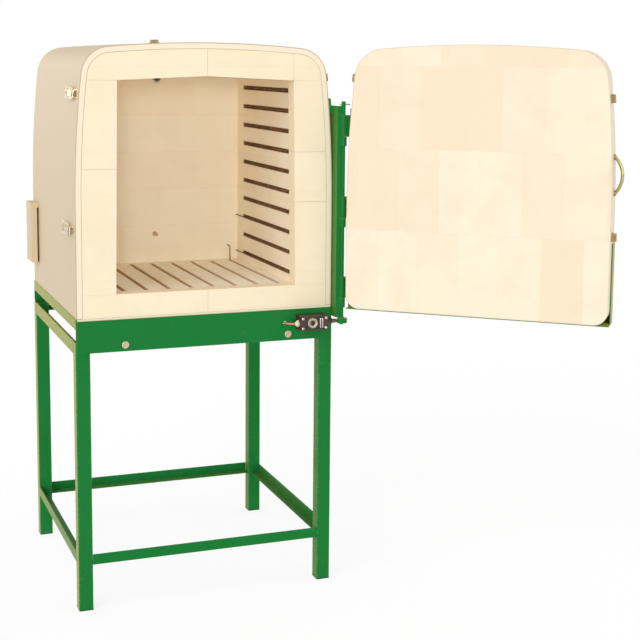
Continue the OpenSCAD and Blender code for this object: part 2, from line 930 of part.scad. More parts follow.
// Hinge
module hinge_post() {
  corner = [post_x, post_front, post_low];
  color(green) difference() {
    union() {
      box(corner, [post_x + post_t, front_y + post_back, post_top]);
      box(corner, [hinge_x - rod_d / 2 - swing_gap, post_front + post_t, post_top]);
      for (z = leaf_bottoms) translate([hinge_x, hinge_y, z - leaf_gap - bearing_l])
        cylinder(h = bearing_l, d = bearing_d);
      post_tie();
    }
    translate([hinge_x, hinge_y, post_low - cut])
      cylinder(h = post_top - post_low + 2 * cut, d = rod_d + 2 * rod_fit);
    for (z = leaf_bottoms) translate([hinge_x, hinge_y, z - leaf_gap])
      cylinder(h = leaf_h + 2 * leaf_gap, d = knuckle_d + 2 * swing_gap);
  }
}

// Strip that ties the post's head to the jacket, with a lug standing up along the jacket
module post_tie() {
  z = post_top - tie_h;
  lug_top = post_top + lug_h;
  slab(front_y, front_y + tie_l)
    polygon([[side_at(z) + tie_gap, z], [post_x + post_t, z], [post_x + post_t, post_top],
             [side_at(post_top) + tie_gap + lug_t, post_top], [side_at(lug_top) + tie_gap + lug_t, lug_top],
             [side_at(lug_top) + tie_gap, lug_top]]);
}

module hinge_leaves() {
  strap_y = hinge_y - knuckle_d / 2;
  color(green) door_pose() for (z = leaf_bottoms) difference() {
    union() {
      translate([hinge_x, hinge_y, z]) cylinder(h = leaf_h, d = knuckle_d);
      box([frame_half, strap_y, z], [hinge_x, strap_y + strap_t, z + leaf_h]);
    }
    translate([hinge_x, hinge_y, z - cut]) cylinder(h = leaf_h + 2 * cut, d = rod_d + 2 * seat_fit);
  }
}

module hinge_rod() {
  color(green) difference() {
    translate([hinge_x, hinge_y, rod_low]) cylinder(h = rod_top - rod_low, d = rod_d);
    split_pin_bar(seat_fit);
  }
}

module split_pin_bar(spare = 0) {
  pin_wire = 4;
  short_end = 5;
  long_end = 14;
  drop = 9;
  rod_x(hinge_x - rod_d / 2 - short_end, hinge_x + rod_d / 2 + long_end, pin_wire + 2 * spare, hinge_y,
        rod_top - drop);
}

module split_pin() { color(steel) split_pin_bar(); }

// Cam whose radius grows evenly as the door shuts, then falls back past the nose
module switch_cam() {
  rise = cam_lift / 180;
  shut = 180 + door_open;
  full = door_open;
  step = 5;
  back = 360 - (shut - full);
  nose = cam_r + rise * door_open;
  heel = cam_r - rise * (180 - full);
  spiral = [for (a = [full:step:shut]) polar(cam_r + rise * (a - 180), a)];
  fall = [for (a = [step:step:back - step]) polar(nose + (heel - nose) * a / back, shut + a)];
  color(green) difference() {
    translate([hinge_x, hinge_y, 0]) union() {
      translate([0, 0, cam_low]) linear_extrude(cam_t) polygon(concat(spiral, fall));
      translate([0, 0, cam_low]) cylinder(h = cam_hub_top - cam_low, d = knuckle_d);
    }
    translate([hinge_x, hinge_y, 0]) cylinder(h = body_top, d = rod_d + 2 * seat_fit);
  }
}

// Latches
module latch_base() {
  union() {
    box([-latch_t, lever_s - plate_fore, -base_w], [0, bail_pivot + plate_aft, base_w]);
    for (side = [0, 1]) mirror([0, 0, side]) difference() {
      box([-pivot_u - ear_rise, lever_s - ear_over, ear_w], [0, bail_pivot + ear_over, base_w]);
      translate([-pivot_u, bail_pivot, 0]) cylinder(h = base_w + cut, d = wire_d + 2 * pivot_fit);
    }
    translate([-pivot_u, lever_s, -base_w]) cylinder(h = 2 * base_w, d = pin_d);
  }
}

module latch_bases() {
  color(brass) for (z = latch_z) on_left_side(z) latch_base();
}

// Lever on its pin, with a finger lip rolled at the free end
module lever() {
  cheek = 2;
  boss_d = pin_d + 2 * cheek;
  plate_u = pivot_u + lever_rise;
  lip_d = 2 * latch_t;
  half = lever_w / 2;
  difference() {
    union() {
      box([-plate_u - latch_t, lever_s - lever_fore, -half], [-plate_u, lever_s + lever_l, half]);
      for (side = [0, 1]) mirror([0, 0, side]) {
        translate([-pivot_u, lever_s, half - cheek]) cylinder(h = cheek, d = boss_d);
        box([-plate_u, lever_s - lever_fore, half - cheek], [-pivot_u, lever_s + cheek_l, half]);
      }
      translate([-plate_u - latch_t / 2, lever_s + lever_l, -half]) cylinder(h = lever_w, d = lip_d);
    }
    translate([-pivot_u, lever_s, -half - cut]) cylinder(h = lever_w + 2 * cut, d = pin_d + 2 * pivot_fit);
  }
}

module upper_lever() { color(brass) on_left_side(latch_z[1]) lever(); }
module lower_lever() { color(brass) on_left_side(latch_z[0]) lever(); }

module bail() {
  far = bail_pivot + bail_l;
  union() {
    for (side = [0, 1]) mirror([0, 0, side]) {
      translate([-pivot_u, bail_pivot, ear_w + bail_end])
        cylinder(h = bail_w - ear_w - bail_end, d = wire_d);
      translate([-pivot_u, bail_pivot, bail_w]) sphere(d = wire_d);
      translate([-pivot_u, bail_pivot, bail_w]) rotate([-90, 0, 0]) cylinder(h = bail_l, d = wire_d);
      translate([-pivot_u, far, bail_w]) sphere(d = wire_d);
    }
    translate([-pivot_u, far, -bail_w]) cylinder(h = 2 * bail_w, d = wire_d);
  }
}

module upper_bail() { color(brass) on_left_side(latch_z[1]) bail(); }
module lower_bail() { color(brass) on_left_side(latch_z[0]) bail(); }

// Hook on the door's free edge that a bail's crossbar draws on
module latch_catch() {
  hook = -bail_reach + wire_d / 2 + catch_gap;
  union() {
    box([-latch_t, -bail_reach - catch_fore, -catch_w], [0, hook + latch_t + catch_aft, catch_w]);
    box([-catch_h - latch_t, hook, -catch_w], [0, hook + latch_t, catch_w]);
    box([-catch_h - latch_t, hook - catch_lip, -catch_w], [-catch_h, hook, catch_w]);
  }
}

module door_catches() {
  color(brass) door_pose() for (z = latch_z) on_left_side(z) latch_catch();
}

// Door
module door_outline(inset) { outline(inset, base_top, door_r); }

module door_bricks() {
  color(cream) door_pose() slab(door_in - door_brick, door_in) door_outline(jacket_t);
}

module door_fibre() {
  face = door_in - door_brick;
  color(fibre_white) door_pose() slab(face - door_fibre_t, face) door_outline(jacket_t);
}

module door_band() {
  color(tan_sheet) door_pose() difference() {
    slab(door_out + jacket_t, door_in) door_outline(0);
    slab(door_out, door_in + cut) door_outline(jacket_t);
  }
}

module door_panel() {
  color(tan_sheet) door_pose() slab(door_out, door_out + jacket_t) door_outline(0);
}

module door_frame() {
  back = door_out - door_t;
  hinge_top = post_top - frame_top_drop;
  free_top = frame_low + free_up;
  color(green) door_pose() union() {
    box([-frame_half, back, frame_low], [half_w, door_in - door_lip, base_top]);
    box([-frame_half, back, frame_low], [frame_half, door_out, frame_low + door_angle]);
    box([-frame_half, back, frame_low], [-half_w, hinge_flange_y, free_top]);
    box([-frame_half, back, frame_low], [-frame_half + door_angle, door_out, free_top]);
    box([half_w, back, frame_low], [frame_half, hinge_flange_y, hinge_top]);
    box([frame_half - door_angle, back, frame_low], [frame_half, door_out, hinge_top]);
  }
}

// Round bow standing off the free edge on two small feet
module door_handle() {
  z = body_top - handle_drop;
  s = -door_gap - handle_y;
  rise = handle_out - handle_d / 2 - handle_foot;
  bow_r = (handle_l^2 / 4 + rise^2) / (2 * rise);
  bow_half = asin(handle_l / 2 / bow_r);
  foot = handle_d + 8;
  neck = handle_d + 3;
  color(brass) door_pose() on_left_side(z) difference() {
    union() {
      translate([bow_r - rise - handle_foot, s, 0]) rotate([90, 0, 0]) rotate([0, 0, 180 - bow_half])
        rotate_extrude(angle = 2 * bow_half) translate([bow_r, 0]) circle(d = handle_d);
      for (side = [-1, 1]) translate([0, s, side * handle_l / 2]) rotate([0, -90, 0]) {
        cylinder(h = handle_foot, d = foot);
        cylinder(h = 2 * handle_foot, d = neck);
      }
    }
    translate([0, s - foot, -handle_l]) cube([bow_r, 2 * foot, 2 * handle_l]);
  }
}

// Door switch
module switch_body() {
  color(switch_brown) difference() {
    union() {
      box([switch_x0, switch_front, switch_low], [switch_x1, apron_face, switch_low + switch_h]);
      translate([switch_x1 - cut, hinge_y, plunger_z]) rotate([0, 90, 0])
        cylinder(h = collar_l + cut, d1 = collar_d, d2 = collar_tip);
    }
    rod_x(switch_x1 - bore_back, switch_x1 + collar_l + cut, plunger_d + 2 * plunger_fit, hinge_y, plunger_z);
  }
}

module switch_cover() {
  color(switch_brown) difference() {
    box([switch_x0, switch_front - switch_lid, switch_low], [switch_x1, switch_front, switch_low + switch_h]);
    for (p = screw_places) rod_y(switch_front - 2 * switch_lid, switch_front + cut, screw_d, p[0], p[1]);
  }
}

module switch_screws() {
  face = switch_front - switch_lid;
  color(steel) for (p = screw_places) union() {
    rod_y(face, switch_front, screw_d, p[0], p[1]);
    rod_y(face - screw_head_t, face, screw_head, p[0], p[1]);
  }
}

module switch_plunger() {
  tip_r = plunger_d / 2;
  color(steel) union() {
    rod_x(switch_x1 - plunger_back, tip_x - tip_r, plunger_d, hinge_y, plunger_z);
    translate([tip_x - tip_r, hinge_y, plunger_z]) sphere(r = tip_r);
  }
}

module switch_gland() {
  color(fibre_white) union() {
    translate([lead_x, hinge_y, lead_z]) rotate([0, 90, 0])
      cylinder(h = gland_nose + cut, d1 = gland_neck, d2 = gland_d - 2 * cut);
    translate([lead_x + gland_nose, hinge_y, lead_z]) rotate([0, 90, 0])
      cylinder(h = gland_l - gland_nose, d = gland_d, $fn = 6);
  }
}

// Runs from the gland, through the apron and up to the pan
module switch_lead() {
  color(salmon) union() {
    translate([lead_x, hinge_y + lead_r, lead_z]) rotate([0, 0, 180]) rotate_extrude(angle = 90)
      translate([lead_r, 0]) circle(d = lead_d);
    rod_y(lead_turn_y, lead_rise_y, lead_d, lead_hole_x, lead_z);
    translate([lead_hole_x, lead_rise_y, lead_z + lead_rise_r]) rotate([0, 90, 0])
      rotate_extrude(angle = 90) translate([lead_rise_r, 0]) circle(d = lead_d);
    translate([lead_hole_x, lead_rise_y + lead_rise_r, lead_z + lead_rise_r])
      cylinder(h = base_z + base_t - lead_z - lead_rise_r, d = lead_d);
  }
}

leg_front_left();
leg_front_right();
leg_rear_left();
leg_rear_right();
foot_plugs();
top_cross_rails();
top_side_rails();
shelf_cross_rails();
shelf_side_rails();
base_frame();
base_pan();
front_apron();
rear_apron();
apron_bolts();
apron_washers();
jacket();
rear_panel();
fibre_blanket();
back_fibre();
floor_board();
floor_bricks();
left_wall();
right_wall();
back_wall();
roof_slabs();
left_jamb();
right_jamb();
lintel();
sill();
wall_elements();
floor_elements();
thermocouple();
vent_tube();
terminal_block();
terminal_cover();
jacket_clamps();
hinge_post();
latch_bases();
upper_lever();
upper_bail();
lower_lever();
lower_bail();
switch_body();
switch_cover();
switch_screws();
switch_plunger();
switch_gland();
switch_lead();
door_frame();
door_band();
door_panel();
door_fibre();
door_bricks();
door_handle();
door_catches();
door_clamp();
hinge_leaves();
hinge_rod();
split_pin();
switch_cam();
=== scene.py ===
"""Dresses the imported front-loading kiln with rounded edges, coiled elements, finishes, camera and light."""

import json
import logging
import math
from collections.abc import Iterable, Sequence
from dataclasses import dataclass
from enum import Enum
from typing import Any

import bmesh
import bpy
from bpy.types import Material, Mesh, Node, NodeSocket, NodeTree, Object
from mathutils import Matrix, Vector

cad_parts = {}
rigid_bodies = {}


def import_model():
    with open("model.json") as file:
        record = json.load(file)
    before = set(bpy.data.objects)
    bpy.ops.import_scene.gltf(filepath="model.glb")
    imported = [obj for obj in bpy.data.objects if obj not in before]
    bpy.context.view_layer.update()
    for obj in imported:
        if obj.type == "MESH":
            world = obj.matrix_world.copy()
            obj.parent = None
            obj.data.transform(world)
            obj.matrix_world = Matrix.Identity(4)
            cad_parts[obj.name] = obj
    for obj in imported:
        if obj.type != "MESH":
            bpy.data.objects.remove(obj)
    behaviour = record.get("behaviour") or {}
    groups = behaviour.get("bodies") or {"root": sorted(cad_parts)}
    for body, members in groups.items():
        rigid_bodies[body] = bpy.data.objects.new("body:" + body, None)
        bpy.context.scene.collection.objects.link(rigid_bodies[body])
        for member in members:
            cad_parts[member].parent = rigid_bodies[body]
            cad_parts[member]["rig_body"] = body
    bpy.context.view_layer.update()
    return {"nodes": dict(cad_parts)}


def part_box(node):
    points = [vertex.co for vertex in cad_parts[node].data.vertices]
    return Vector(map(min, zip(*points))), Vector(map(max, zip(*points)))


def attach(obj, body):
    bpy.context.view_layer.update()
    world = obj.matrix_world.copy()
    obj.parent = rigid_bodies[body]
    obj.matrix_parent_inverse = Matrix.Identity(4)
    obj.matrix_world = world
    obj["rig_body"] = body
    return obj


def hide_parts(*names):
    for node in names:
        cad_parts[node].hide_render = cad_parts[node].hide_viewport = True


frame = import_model()
LOG = logging.getLogger("kiln")

Colour = tuple[float, float, float]
Point = tuple[float, float, float]
Profile = tuple[tuple[float, float], ...]
Shaders = tuple[tuple[str, dict[str, Any]], ...]
MM = 0.001
KILN = "kiln"

# Distance at which points merge, and angles below which faces merge, above which an edge
# is rounded, and above which the shading of a rounded piece breaks
WELD = 2e-6
FLAT = math.radians(0.6)
SHARP = math.radians(32)
CREASE = math.radians(46)

# Share of an upright edge that goes up, and specular level of brick and fibre
PLUMB = 0.99
MATT = 0.1


class Plane(Enum):
    """The two Object coordinates that a brick pattern is laid out on."""

    FACE = ("X", "Z")
    SIDE = ("Y", "Z")
    FLOOR = ("X", "Y")


class Groove(Enum):
    """The Object coordinate along which grooves go into the bricks."""

    WALL = "X"
    FLOOR = "Z"


def srgb(*screen: int) -> Colour:
    """Turns a screen colour into the linear one that shaders take.

    Args:
        screen: Red, green and blue from 0 to 255.

    Returns:
        The linear colour.
    """
    shares = (value / 255 for value in screen)
    return tuple(v / 12.92 if v <= 0.04045 else ((v + 0.055) / 1.055) ** 2.4 for v in shares)


def shade(colour: Colour, factor: float) -> Colour:
    """A colour made lighter or darker by a factor."""
    return tuple(min(1.0, c * factor) for c in colour)


class Sock:
    """A shader socket that takes part in Python expressions."""

    def __init__(self, graph: "Graph", socket: NodeSocket) -> None:
        """Wraps one output socket of a graph."""
        self.graph = graph
        self.socket = socket

    def _math(self, operation: str, left: "Sock | float", right: "Sock | float" = 0.0) -> "Sock":
        """Adds one Math node and gives its output."""
        return self.graph.node("ShaderNodeMath", {"operation": operation}, {0: left, 1: right})

    def __add__(self, other: "Sock | float") -> "Sock":
        """Sum."""
        return self._math("ADD", self, other)

    __radd__ = __add__

    def __sub__(self, other: "Sock | float") -> "Sock":
        """Difference."""
        return self._math("SUBTRACT", self, other)

    def __rsub__(self, other: float) -> "Sock":
        """Difference from a number."""
        return self._math("SUBTRACT", other, self)

    def __mul__(self, other: "Sock | float") -> "Sock":
        """Product."""
        return self._math("MULTIPLY", self, other)

    __rmul__ = __mul__

    def __abs__(self) -> "Sock":
        """Size without its sign."""
        return self._math("ABSOLUTE", self)


class Graph:
    """The node tree of one material, and the few ways it is added to."""

    def __init__(self, name: str) -> None:
        """Makes a material with a Principled surface and Object coordinates.

        Args:
            name: The material's name.
        """
        self.material = bpy.data.materials.new(name)
        self.material.use_nodes = True
        self.tree = self.material.node_tree
        self.tree.nodes.clear()
        self.surface = self.tree.nodes.new("ShaderNodeBsdfPrincipled")
        output = self.tree.nodes.new("ShaderNodeOutputMaterial")
        self.tree.links.new(self.surface.outputs[0], output.inputs["Surface"])
        self.at = self.node("ShaderNodeTexCoord", {}, {}, "Object")

    def node(self, kind: str, settings: dict[str, Any], inputs: dict[int | str, Any],
             out: int | str = 0) -> Sock:
        """Adds one node.

        Args:
            kind: The node's type.
            settings: Its own settings.
            inputs: Values or links of its sockets, by index or name.
            out: The output that is wanted.

        Returns:
            That output.
        """
        made = self.tree.nodes.new(kind)
        for key, value in settings.items():
            setattr(made, key, value)
        for key, value in inputs.items():
            self.plug(made.inputs[key], value)
        return Sock(self, made.outputs[out])

    def plug(self, socket: NodeSocket, value: Any) -> None:
        """Links a socket, or sets its own value.

        Args:
            socket: The socket to fill.
            value: A Sock, a number, a vector or a colour.
        """
        if isinstance(value, Sock):
            self.tree.links.new(value.socket, socket)
        elif isinstance(value, tuple) and len(value) == 3 and socket.type == "RGBA":
            socket.default_value = (*value, 1)
        else:
            socket.default_value = value

    def finish(self, **sockets: Any) -> None:
        """Fills the Principled surface's sockets, by names with _ for a space."""
        for name, value in sockets.items():
            self.plug(self.surface.inputs[name.replace("_", " ")], value)

    def edge(self) -> Sock:
        """One on the rounded edges of a softened piece."""
        return self.node("ShaderNodeAttribute", {"attribute_name": "edge"}, {}, "Fac")

    def noise(self, scale: float, detail: float = 2.0, where: Sock | None = None) -> Sock:
        """Noise from 0 to 1, with so many features in a metre and octaves of detail."""
        inputs = {"Vector": where or self.at, "Scale": scale, "Detail": detail, "Roughness": 0.55}
        return self.node("ShaderNodeTexNoise", {}, inputs)

    def stretch(self, *scale: float) -> Sock:
        """Object coordinates scaled by axis, for streaks."""
        return self.node("ShaderNodeMapping", {}, {"Vector": self.at, "Scale": scale})

    def step(self, value: Sock, low: float, high: float) -> Sock:
        """Smooth step from 0 at low to 1 at high."""
        inputs = {"Value": value, "From Min": low, "From Max": high}
        return self.node("ShaderNodeMapRange", {"interpolation_type": "SMOOTHSTEP"}, inputs)

    def mix(self, factor: "Sock | float", first: Any, second: Any) -> Sock:
        """Mixes two colours, with factor as the share of the second."""
        # The node has its colours at inputs 6 and 7 and at output 2
        return self.node("ShaderNodeMix", {"data_type": "RGBA"}, {0: factor, 6: first, 7: second}, 2)

    def bump(self, height: Sock, depth: float, strength: float = 1.0) -> Sock:
        """Normal from a height of 0 to 1, with its depth in metres and the share of it that shows."""
        return self.node("ShaderNodeBump", {}, {"Strength": strength, "Distance": depth, "Height": height})


@dataclass(frozen=True)
class Finish:
    """A finish that makes its material once."""

    name: str
    colour: Colour
    slot: str

    def material(self) -> Material:
        """The finish's material, made at its first use.

        Returns:
            The material.
        """
        if self.name not in bpy.data.materials:
            self.build(Graph(self.name))
        return bpy.data.materials[self.name]

    def build(self, g: Graph) -> None:
        """Fills the graph."""
        raise NotImplementedError


@dataclass(frozen=True)
class Paint(Finish):
    """Gloss paint on steel: orange peel, drifts of tone, rubbed edges, and a warm sheen at low angles that
    paints a reflection of warm surroundings.
    """

    rubbed: Colour = (0.5, 0.5, 0.5)
    rough: float = 0.16
    peel: float = 0.2
    rub: float = 0.4
    ior: float = 1.12
    painted_reflection_sheen: float = 0.9
    painted_reflection_tint: Colour = (1.0, 0.7, 0.1)

    def build(self, g: Graph) -> None:
        """Fills the graph.

        Args:
            g: The graph.
        """
        cloud = g.noise(6.0, 3.0)
        speck = g.noise(190.0, 3.0)
        film = g.mix(cloud, shade(self.colour, 0.9), shade(self.colour, 1.1))
        rubbed = g.edge() * g.step(speck, 0.46, 0.62) * self.rub
        dust = g.step(g.noise(45.0, 4.0), 0.62, 0.8) * 0.08
        colour = g.mix(rubbed, g.mix(dust, film, srgb(196, 200, 180)), self.rubbed)
        rough = self.rough + 0.1 * cloud + 0.2 * rubbed + dust
        peel = g.bump(g.noise(240.0, 2.0), 0.4 * MM, self.peel)
        # The warm sheen is a painted reflection of warm surroundings on faces seen at low angles
        g.finish(Base_Color=colour, Roughness=rough, Normal=peel, IOR=self.ior,
                 Sheen_Weight=self.painted_reflection_sheen, Sheen_Roughness=0.3, Sheen_Tint=self.painted_reflection_tint)


@dataclass(frozen=True)
class Brick(Finish):
    """Insulating firebrick: joints, a tint for each brick, grain, pores, and grooves darkened inside by
    scorch and painted shade.
    """

    tint: Colour = (0.5, 0.5, 0.5)
    joint: Colour = (0.4, 0.3, 0.2)
    plane: Plane = Plane.FACE
    size: tuple[float, float] = (0.230, 0.1168)
    offset: float = 0.5
    shift: tuple[float, float] = (0.0, 0.0)
    line: float = 0.9 * MM
    joint_show: float = 0.5
    pores: float = 0.12
    pivot: Point | None = None
    groove: Groove | None = None
    scorch_and_shade_from: float = 0.0
    scorch_and_shade: Colour = srgb(96, 62, 34)

    def build(self, g: Graph) -> None:
        """Fills the graph.

        Args:
            g: The graph.
        """
        spot = g.at
        if self.pivot:
            turn = {"Vector": g.at, "Location": (self.pivot[0], self.pivot[1], 0.0),
                    "Rotation": (0.0, 0.0, math.radians(self.pivot[2]))}
            spot = g.node("ShaderNodeMapping", {"vector_type": "TEXTURE"}, turn)
        across, up = (g.node("ShaderNodeSeparateXYZ", {}, {0: spot}, axis) for axis in self.plane.value)
        laid = g.node("ShaderNodeCombineXYZ", {}, {0: across + self.shift[0], 1: up + self.shift[1]})
        bricks = {"Vector": laid, "Color1": self.colour, "Color2": self.tint, "Mortar": self.colour,
                  "Scale": 1.0, "Mortar Size": self.line, "Mortar Smooth": 0.4, "Bias": 0.0,
                  "Brick Width": self.size[0], "Row Height": self.size[1]}
        settings = {"offset": self.offset, "squash": 1.0}
        tinted = g.node("ShaderNodeTexBrick", settings, bricks, "Color")
        seam = g.node("ShaderNodeTexBrick", settings, bricks, "Fac")
        cloud = g.noise(11.0, 4.0)
        grain = g.noise(420.0, 3.0)
        cell = g.node("ShaderNodeTexVoronoi", {}, {"Vector": g.at, "Scale": 330.0}, "Distance")
        pore = (1 - g.step(cell, 0.14, 0.3)) * g.step(g.noise(90.0, 2.0), 0.5, 0.62)
        rubbed = g.edge() * g.step(grain, 0.4, 0.6)
        colour = g.mix(g.step(cloud, 0.35, 0.75) * 0.45, tinted, shade(self.tint, 0.93))
        worn = g.step(g.noise(16.0, 3.0), 0.25, 0.6)
        colour = g.mix(seam * self.joint_show * worn, colour, self.joint)
        colour = g.mix(pore * self.pores + 0.05 * grain, colour, shade(self.joint, 0.9))
        colour = g.mix(rubbed * 0.3, colour, shade(self.colour, 0.82))
        if self.groove:
            along = g.node("ShaderNodeSeparateXYZ", {}, {0: g.at}, self.groove.value)
            inside = abs(along) - self.scorch_and_shade_from if self.groove is Groove.WALL else self.scorch_and_shade_from - along
            # Darker deeper in the grooves: scorch, and painted shade of the recess
            scorch_and_shade_mask = g.step(inside, 0.4 * MM, 5 * MM) * (0.72 + 0.28 * grain)
            colour = g.mix(scorch_and_shade_mask, colour, self.scorch_and_shade)
        height = (1 - 0.8 * seam) * (1 - 0.6 * pore) * (0.85 + 0.15 * grain)
        g.finish(Base_Color=colour, Roughness=0.88 + 0.08 * grain, Specular_IOR_Level=MATT,
                 Normal=g.bump(height, 0.8 * MM, 0.6))


@dataclass(frozen=True)
class Sheet(Finish):
    """Satin sheet of the jacket: rolling streaks, drifts of tone and scuffs."""

    scuff: Colour = (0.5, 0.5, 0.5)
    rough: float = 0.46

    def build(self, g: Graph) -> None:
        """Fills the graph.

        Args:
            g: The graph.
        """
        cloud = g.noise(3.2, 3.0)
        streak = g.noise(1.0, 3.0, g.stretch(90.0, 3.0, 90.0))
        speck = g.noise(130.0, 3.0)
        tone = g.mix(0.6 * cloud + 0.25 * streak, shade(self.colour, 0.95), shade(self.colour, 1.06))
        scuffs = g.step(g.noise(26.0, 5.0), 0.62, 0.78) * 0.16 + g.edge() * g.step(speck, 0.4, 0.6) * 0.5
        colour = g.mix(scuffs, tone, self.scuff)
        height = 0.7 * g.noise(2.4, 1.0) + 0.06 * speck + 0.04 * streak
        g.finish(Base_Color=colour, Roughness=self.rough + 0.1 * cloud + 0.06 * streak,
                 Normal=g.bump(height, 2.5 * MM, 0.35))


@dataclass(frozen=True)
class Fibre(Finish):
    """Ceramic fibre: matted strands, soft lumps and darkened edges, part browning and part painted shade of
    the seams.
    """

    edge_brown_and_shade: Colour = srgb(186, 154, 110)
    edge_brown_and_shade_share: float = 0.6

    def build(self, g: Graph) -> None:
        """Fills the graph.

        Args:
            g: The graph.
        """
        strand = g.noise(1.0, 4.0, g.stretch(700.0, 260.0, 120.0))
        lump = g.noise(60.0, 3.0)
        colour = g.mix(0.5 * strand + 0.5 * lump, shade(self.colour, 0.88), self.colour)
        # Edges darken: browning, and painted shade of the seams beside them
        colour = g.mix(g.edge() * self.edge_brown_and_shade_share, colour, self.edge_brown_and_shade)
        height = 0.6 * strand + 0.4 * lump
        g.finish(Base_Color=colour, Roughness=0.95, Specular_IOR_Level=MATT,
                 Normal=g.bump(height, 1.2 * MM, 0.5))


@dataclass(frozen=True)
class Metal(Finish):
    """Bare or plated metal: brushing, tarnish and rubbed edges."""

    tarnish: Colour = (0.2, 0.2, 0.2)
    rough: float = 0.32
    stain: float = 0.5
    brushed: Point = (900.0, 900.0, 60.0)
    shine: float = 1.0

    def build(self, g: Graph) -> None:
        """Fills the graph.

        Args:
            g: The graph.
        """
        brush = g.noise(1.0, 2.0, g.stretch(*self.brushed))
        patch = g.step(g.noise(120.0, 4.0), 0.42, 0.7) * self.stain
        bright = g.edge() * g.step(g.noise(400.0, 2.0), 0.35, 0.55) * 0.5
        colour = g.mix(patch, g.mix(brush, shade(self.colour, 0.86), self.colour), self.tarnish)
        colour = g.mix(bright, colour, shade(self.colour, 1.25))
        rough = self.rough + 0.12 * brush + 0.25 * patch
        g.finish(Base_Color=colour, Metallic=self.shine, Roughness=rough,
                 Normal=g.bump(brush, 0.15 * MM, 0.3))


@dataclass(frozen=True)
class Plastic(Finish):
    """Moulded plastic or rubber: fine texture, dust and dulled edges."""

    rough: float = 0.45
    texture: float = 0.3

    def build(self, g: Graph) -> None:
        """Fills the graph.

        Args:
            g: The graph.
        """
        fine = g.noise(900.0, 2.0)
        cloud = g.noise(55.0, 3.0)
        dull = g.edge() * g.step(fine, 0.4, 0.6) * 0.3
        colour = g.mix(cloud, shade(self.colour, 0.8), shade(self.colour, 1.18))
        colour = g.mix(dull, colour, shade(self.colour, 1.9))
        g.finish(Base_Color=colour, Roughness=self.rough + 0.14 * cloud,
                 Normal=g.bump(fine, 0.2 * MM, self.texture))


@dataclass(frozen=True)
class Oxide(Finish):
    """Element wire under its dark oxide skin."""

    warm: Colour = (0.2, 0.1, 0.05)

    def build(self, g: Graph) -> None:
        """Fills the graph.

        Args:
            g: The graph.
        """
        cloud = g.noise(35.0, 3.0)
        fine = g.noise(800.0, 2.0)
        colour = g.mix(g.step(cloud, 0.35, 0.7), self.colour, self.warm)
        g.finish(Base_Color=colour, Roughness=0.62 + 0.2 * fine, Metallic=0.25,
                 Normal=g.bump(fine, 0.2 * MM, 0.4))


@dataclass(frozen=True)
class Sleeving(Finish):
    """Braided sleeving that follows the lead's own UV map."""

    strands: float = 12.0
    picks: float = 420.0

    def build(self, g: Graph) -> None:
        """Fills the graph.

        Args:
            g: The graph.
        """
        uv = g.node("ShaderNodeUVMap", {"uv_map": "lead"}, {})
        around, along = (g.node("ShaderNodeSeparateXYZ", {}, {0: uv}, axis) for axis in "XY")
        turns, pitch = around * self.strands, along * self.picks
        one, two = (g.node("ShaderNodeMath", {"operation": "SINE"}, {0: way * math.tau})
                    for way in (turns + pitch, turns - pitch))
        weave = 0.5 + 0.25 * one + 0.25 * two
        grime = g.noise(60.0, 3.0)
        colour = g.mix(0.6 * weave + 0.4 * grime, shade(self.colour, 0.68), shade(self.colour, 1.12))
        g.finish(Base_Color=colour, Roughness=0.7 + 0.1 * grime, Normal=g.bump(weave, 0.3 * MM, 0.6))


# The hinge axis across and back, and the degrees that the door stands open
HINGE = (0.393, -0.380, 140.0)
# The chamber's bricks are painted lighter than the mouth's: painted light that makes up for the dim light
# inside
CHAMBER = srgb(253, 243, 223)
WALL = {"slot": "chamber_brick", "tint": srgb(251, 238, 214), "joint": srgb(190, 156, 114),
        "joint_show": 0.14}

PAINT = {"colour": srgb(30, 123, 56), "slot": "green_paint", "rubbed": srgb(96, 160, 104)}
GREEN = Paint("green_gloss", **PAINT)
# A shaded copy of the green paint for the shelf rails: less painted reflection and lower gloss, so their
# inner faces look in shade
SHADED_GREEN = Paint("shelf_gloss_shaded", ior=1.08, painted_reflection_sheen=0.45, **PAINT)
JACKET = Sheet("jacket_satin", srgb(214, 193, 158), "jacket_sheet", srgb(210, 187, 150))
# The door's band is the jacket's own sheet, painted paler to stand in for the bright light on the door's edge
LIT_BAND = Sheet("band_pale", srgb(238, 224, 198), "jacket_sheet", srgb(218, 200, 168))
FACE = Brick("mouth_brick", srgb(252, 238, 209), "face_brick", srgb(251, 235, 203), srgb(206, 180, 138),
             joint_show=0.0)
DOOR_FACE = Brick("door_brick", srgb(250, 238, 215), "face_brick", srgb(246, 226, 198), srgb(214, 190, 148),
                  size=(0.116, 0.231), shift=(0.0, -0.139), joint_show=0.08, pivot=HINGE)
BACK = Brick("back_brick", srgb(251, 242, 220), shift=(0.0, -0.896), **WALL)
# The wall grooves are painted darker than the floor grooves, as more painted shade in them
SIDE = Brick("side_brick", CHAMBER, plane=Plane.SIDE, shift=(0.012, -0.896), groove=Groove.WALL,
             scorch_and_shade_from=0.261, scorch_and_shade=srgb(165, 115, 70), **WALL)
# The floor bricks are painted lightest, as painted light on the chamber floor
FLOOR = Brick("floor_brick", srgb(255, 251, 240), plane=Plane.FLOOR, size=(0.1305, 0.230), shift=(0.0, 0.072),
              groove=Groove.FLOOR, scorch_and_shade_from=0.896, scorch_and_shade=srgb(226, 190, 146), **WALL)
ROOF = Brick("roof_brick", CHAMBER, plane=Plane.FLOOR, size=(0.115, 0.230), shift=(0.0, 0.072), **WALL)
FIBRE = Fibre("fibre_felt", srgb(254, 240, 214), "fibre")

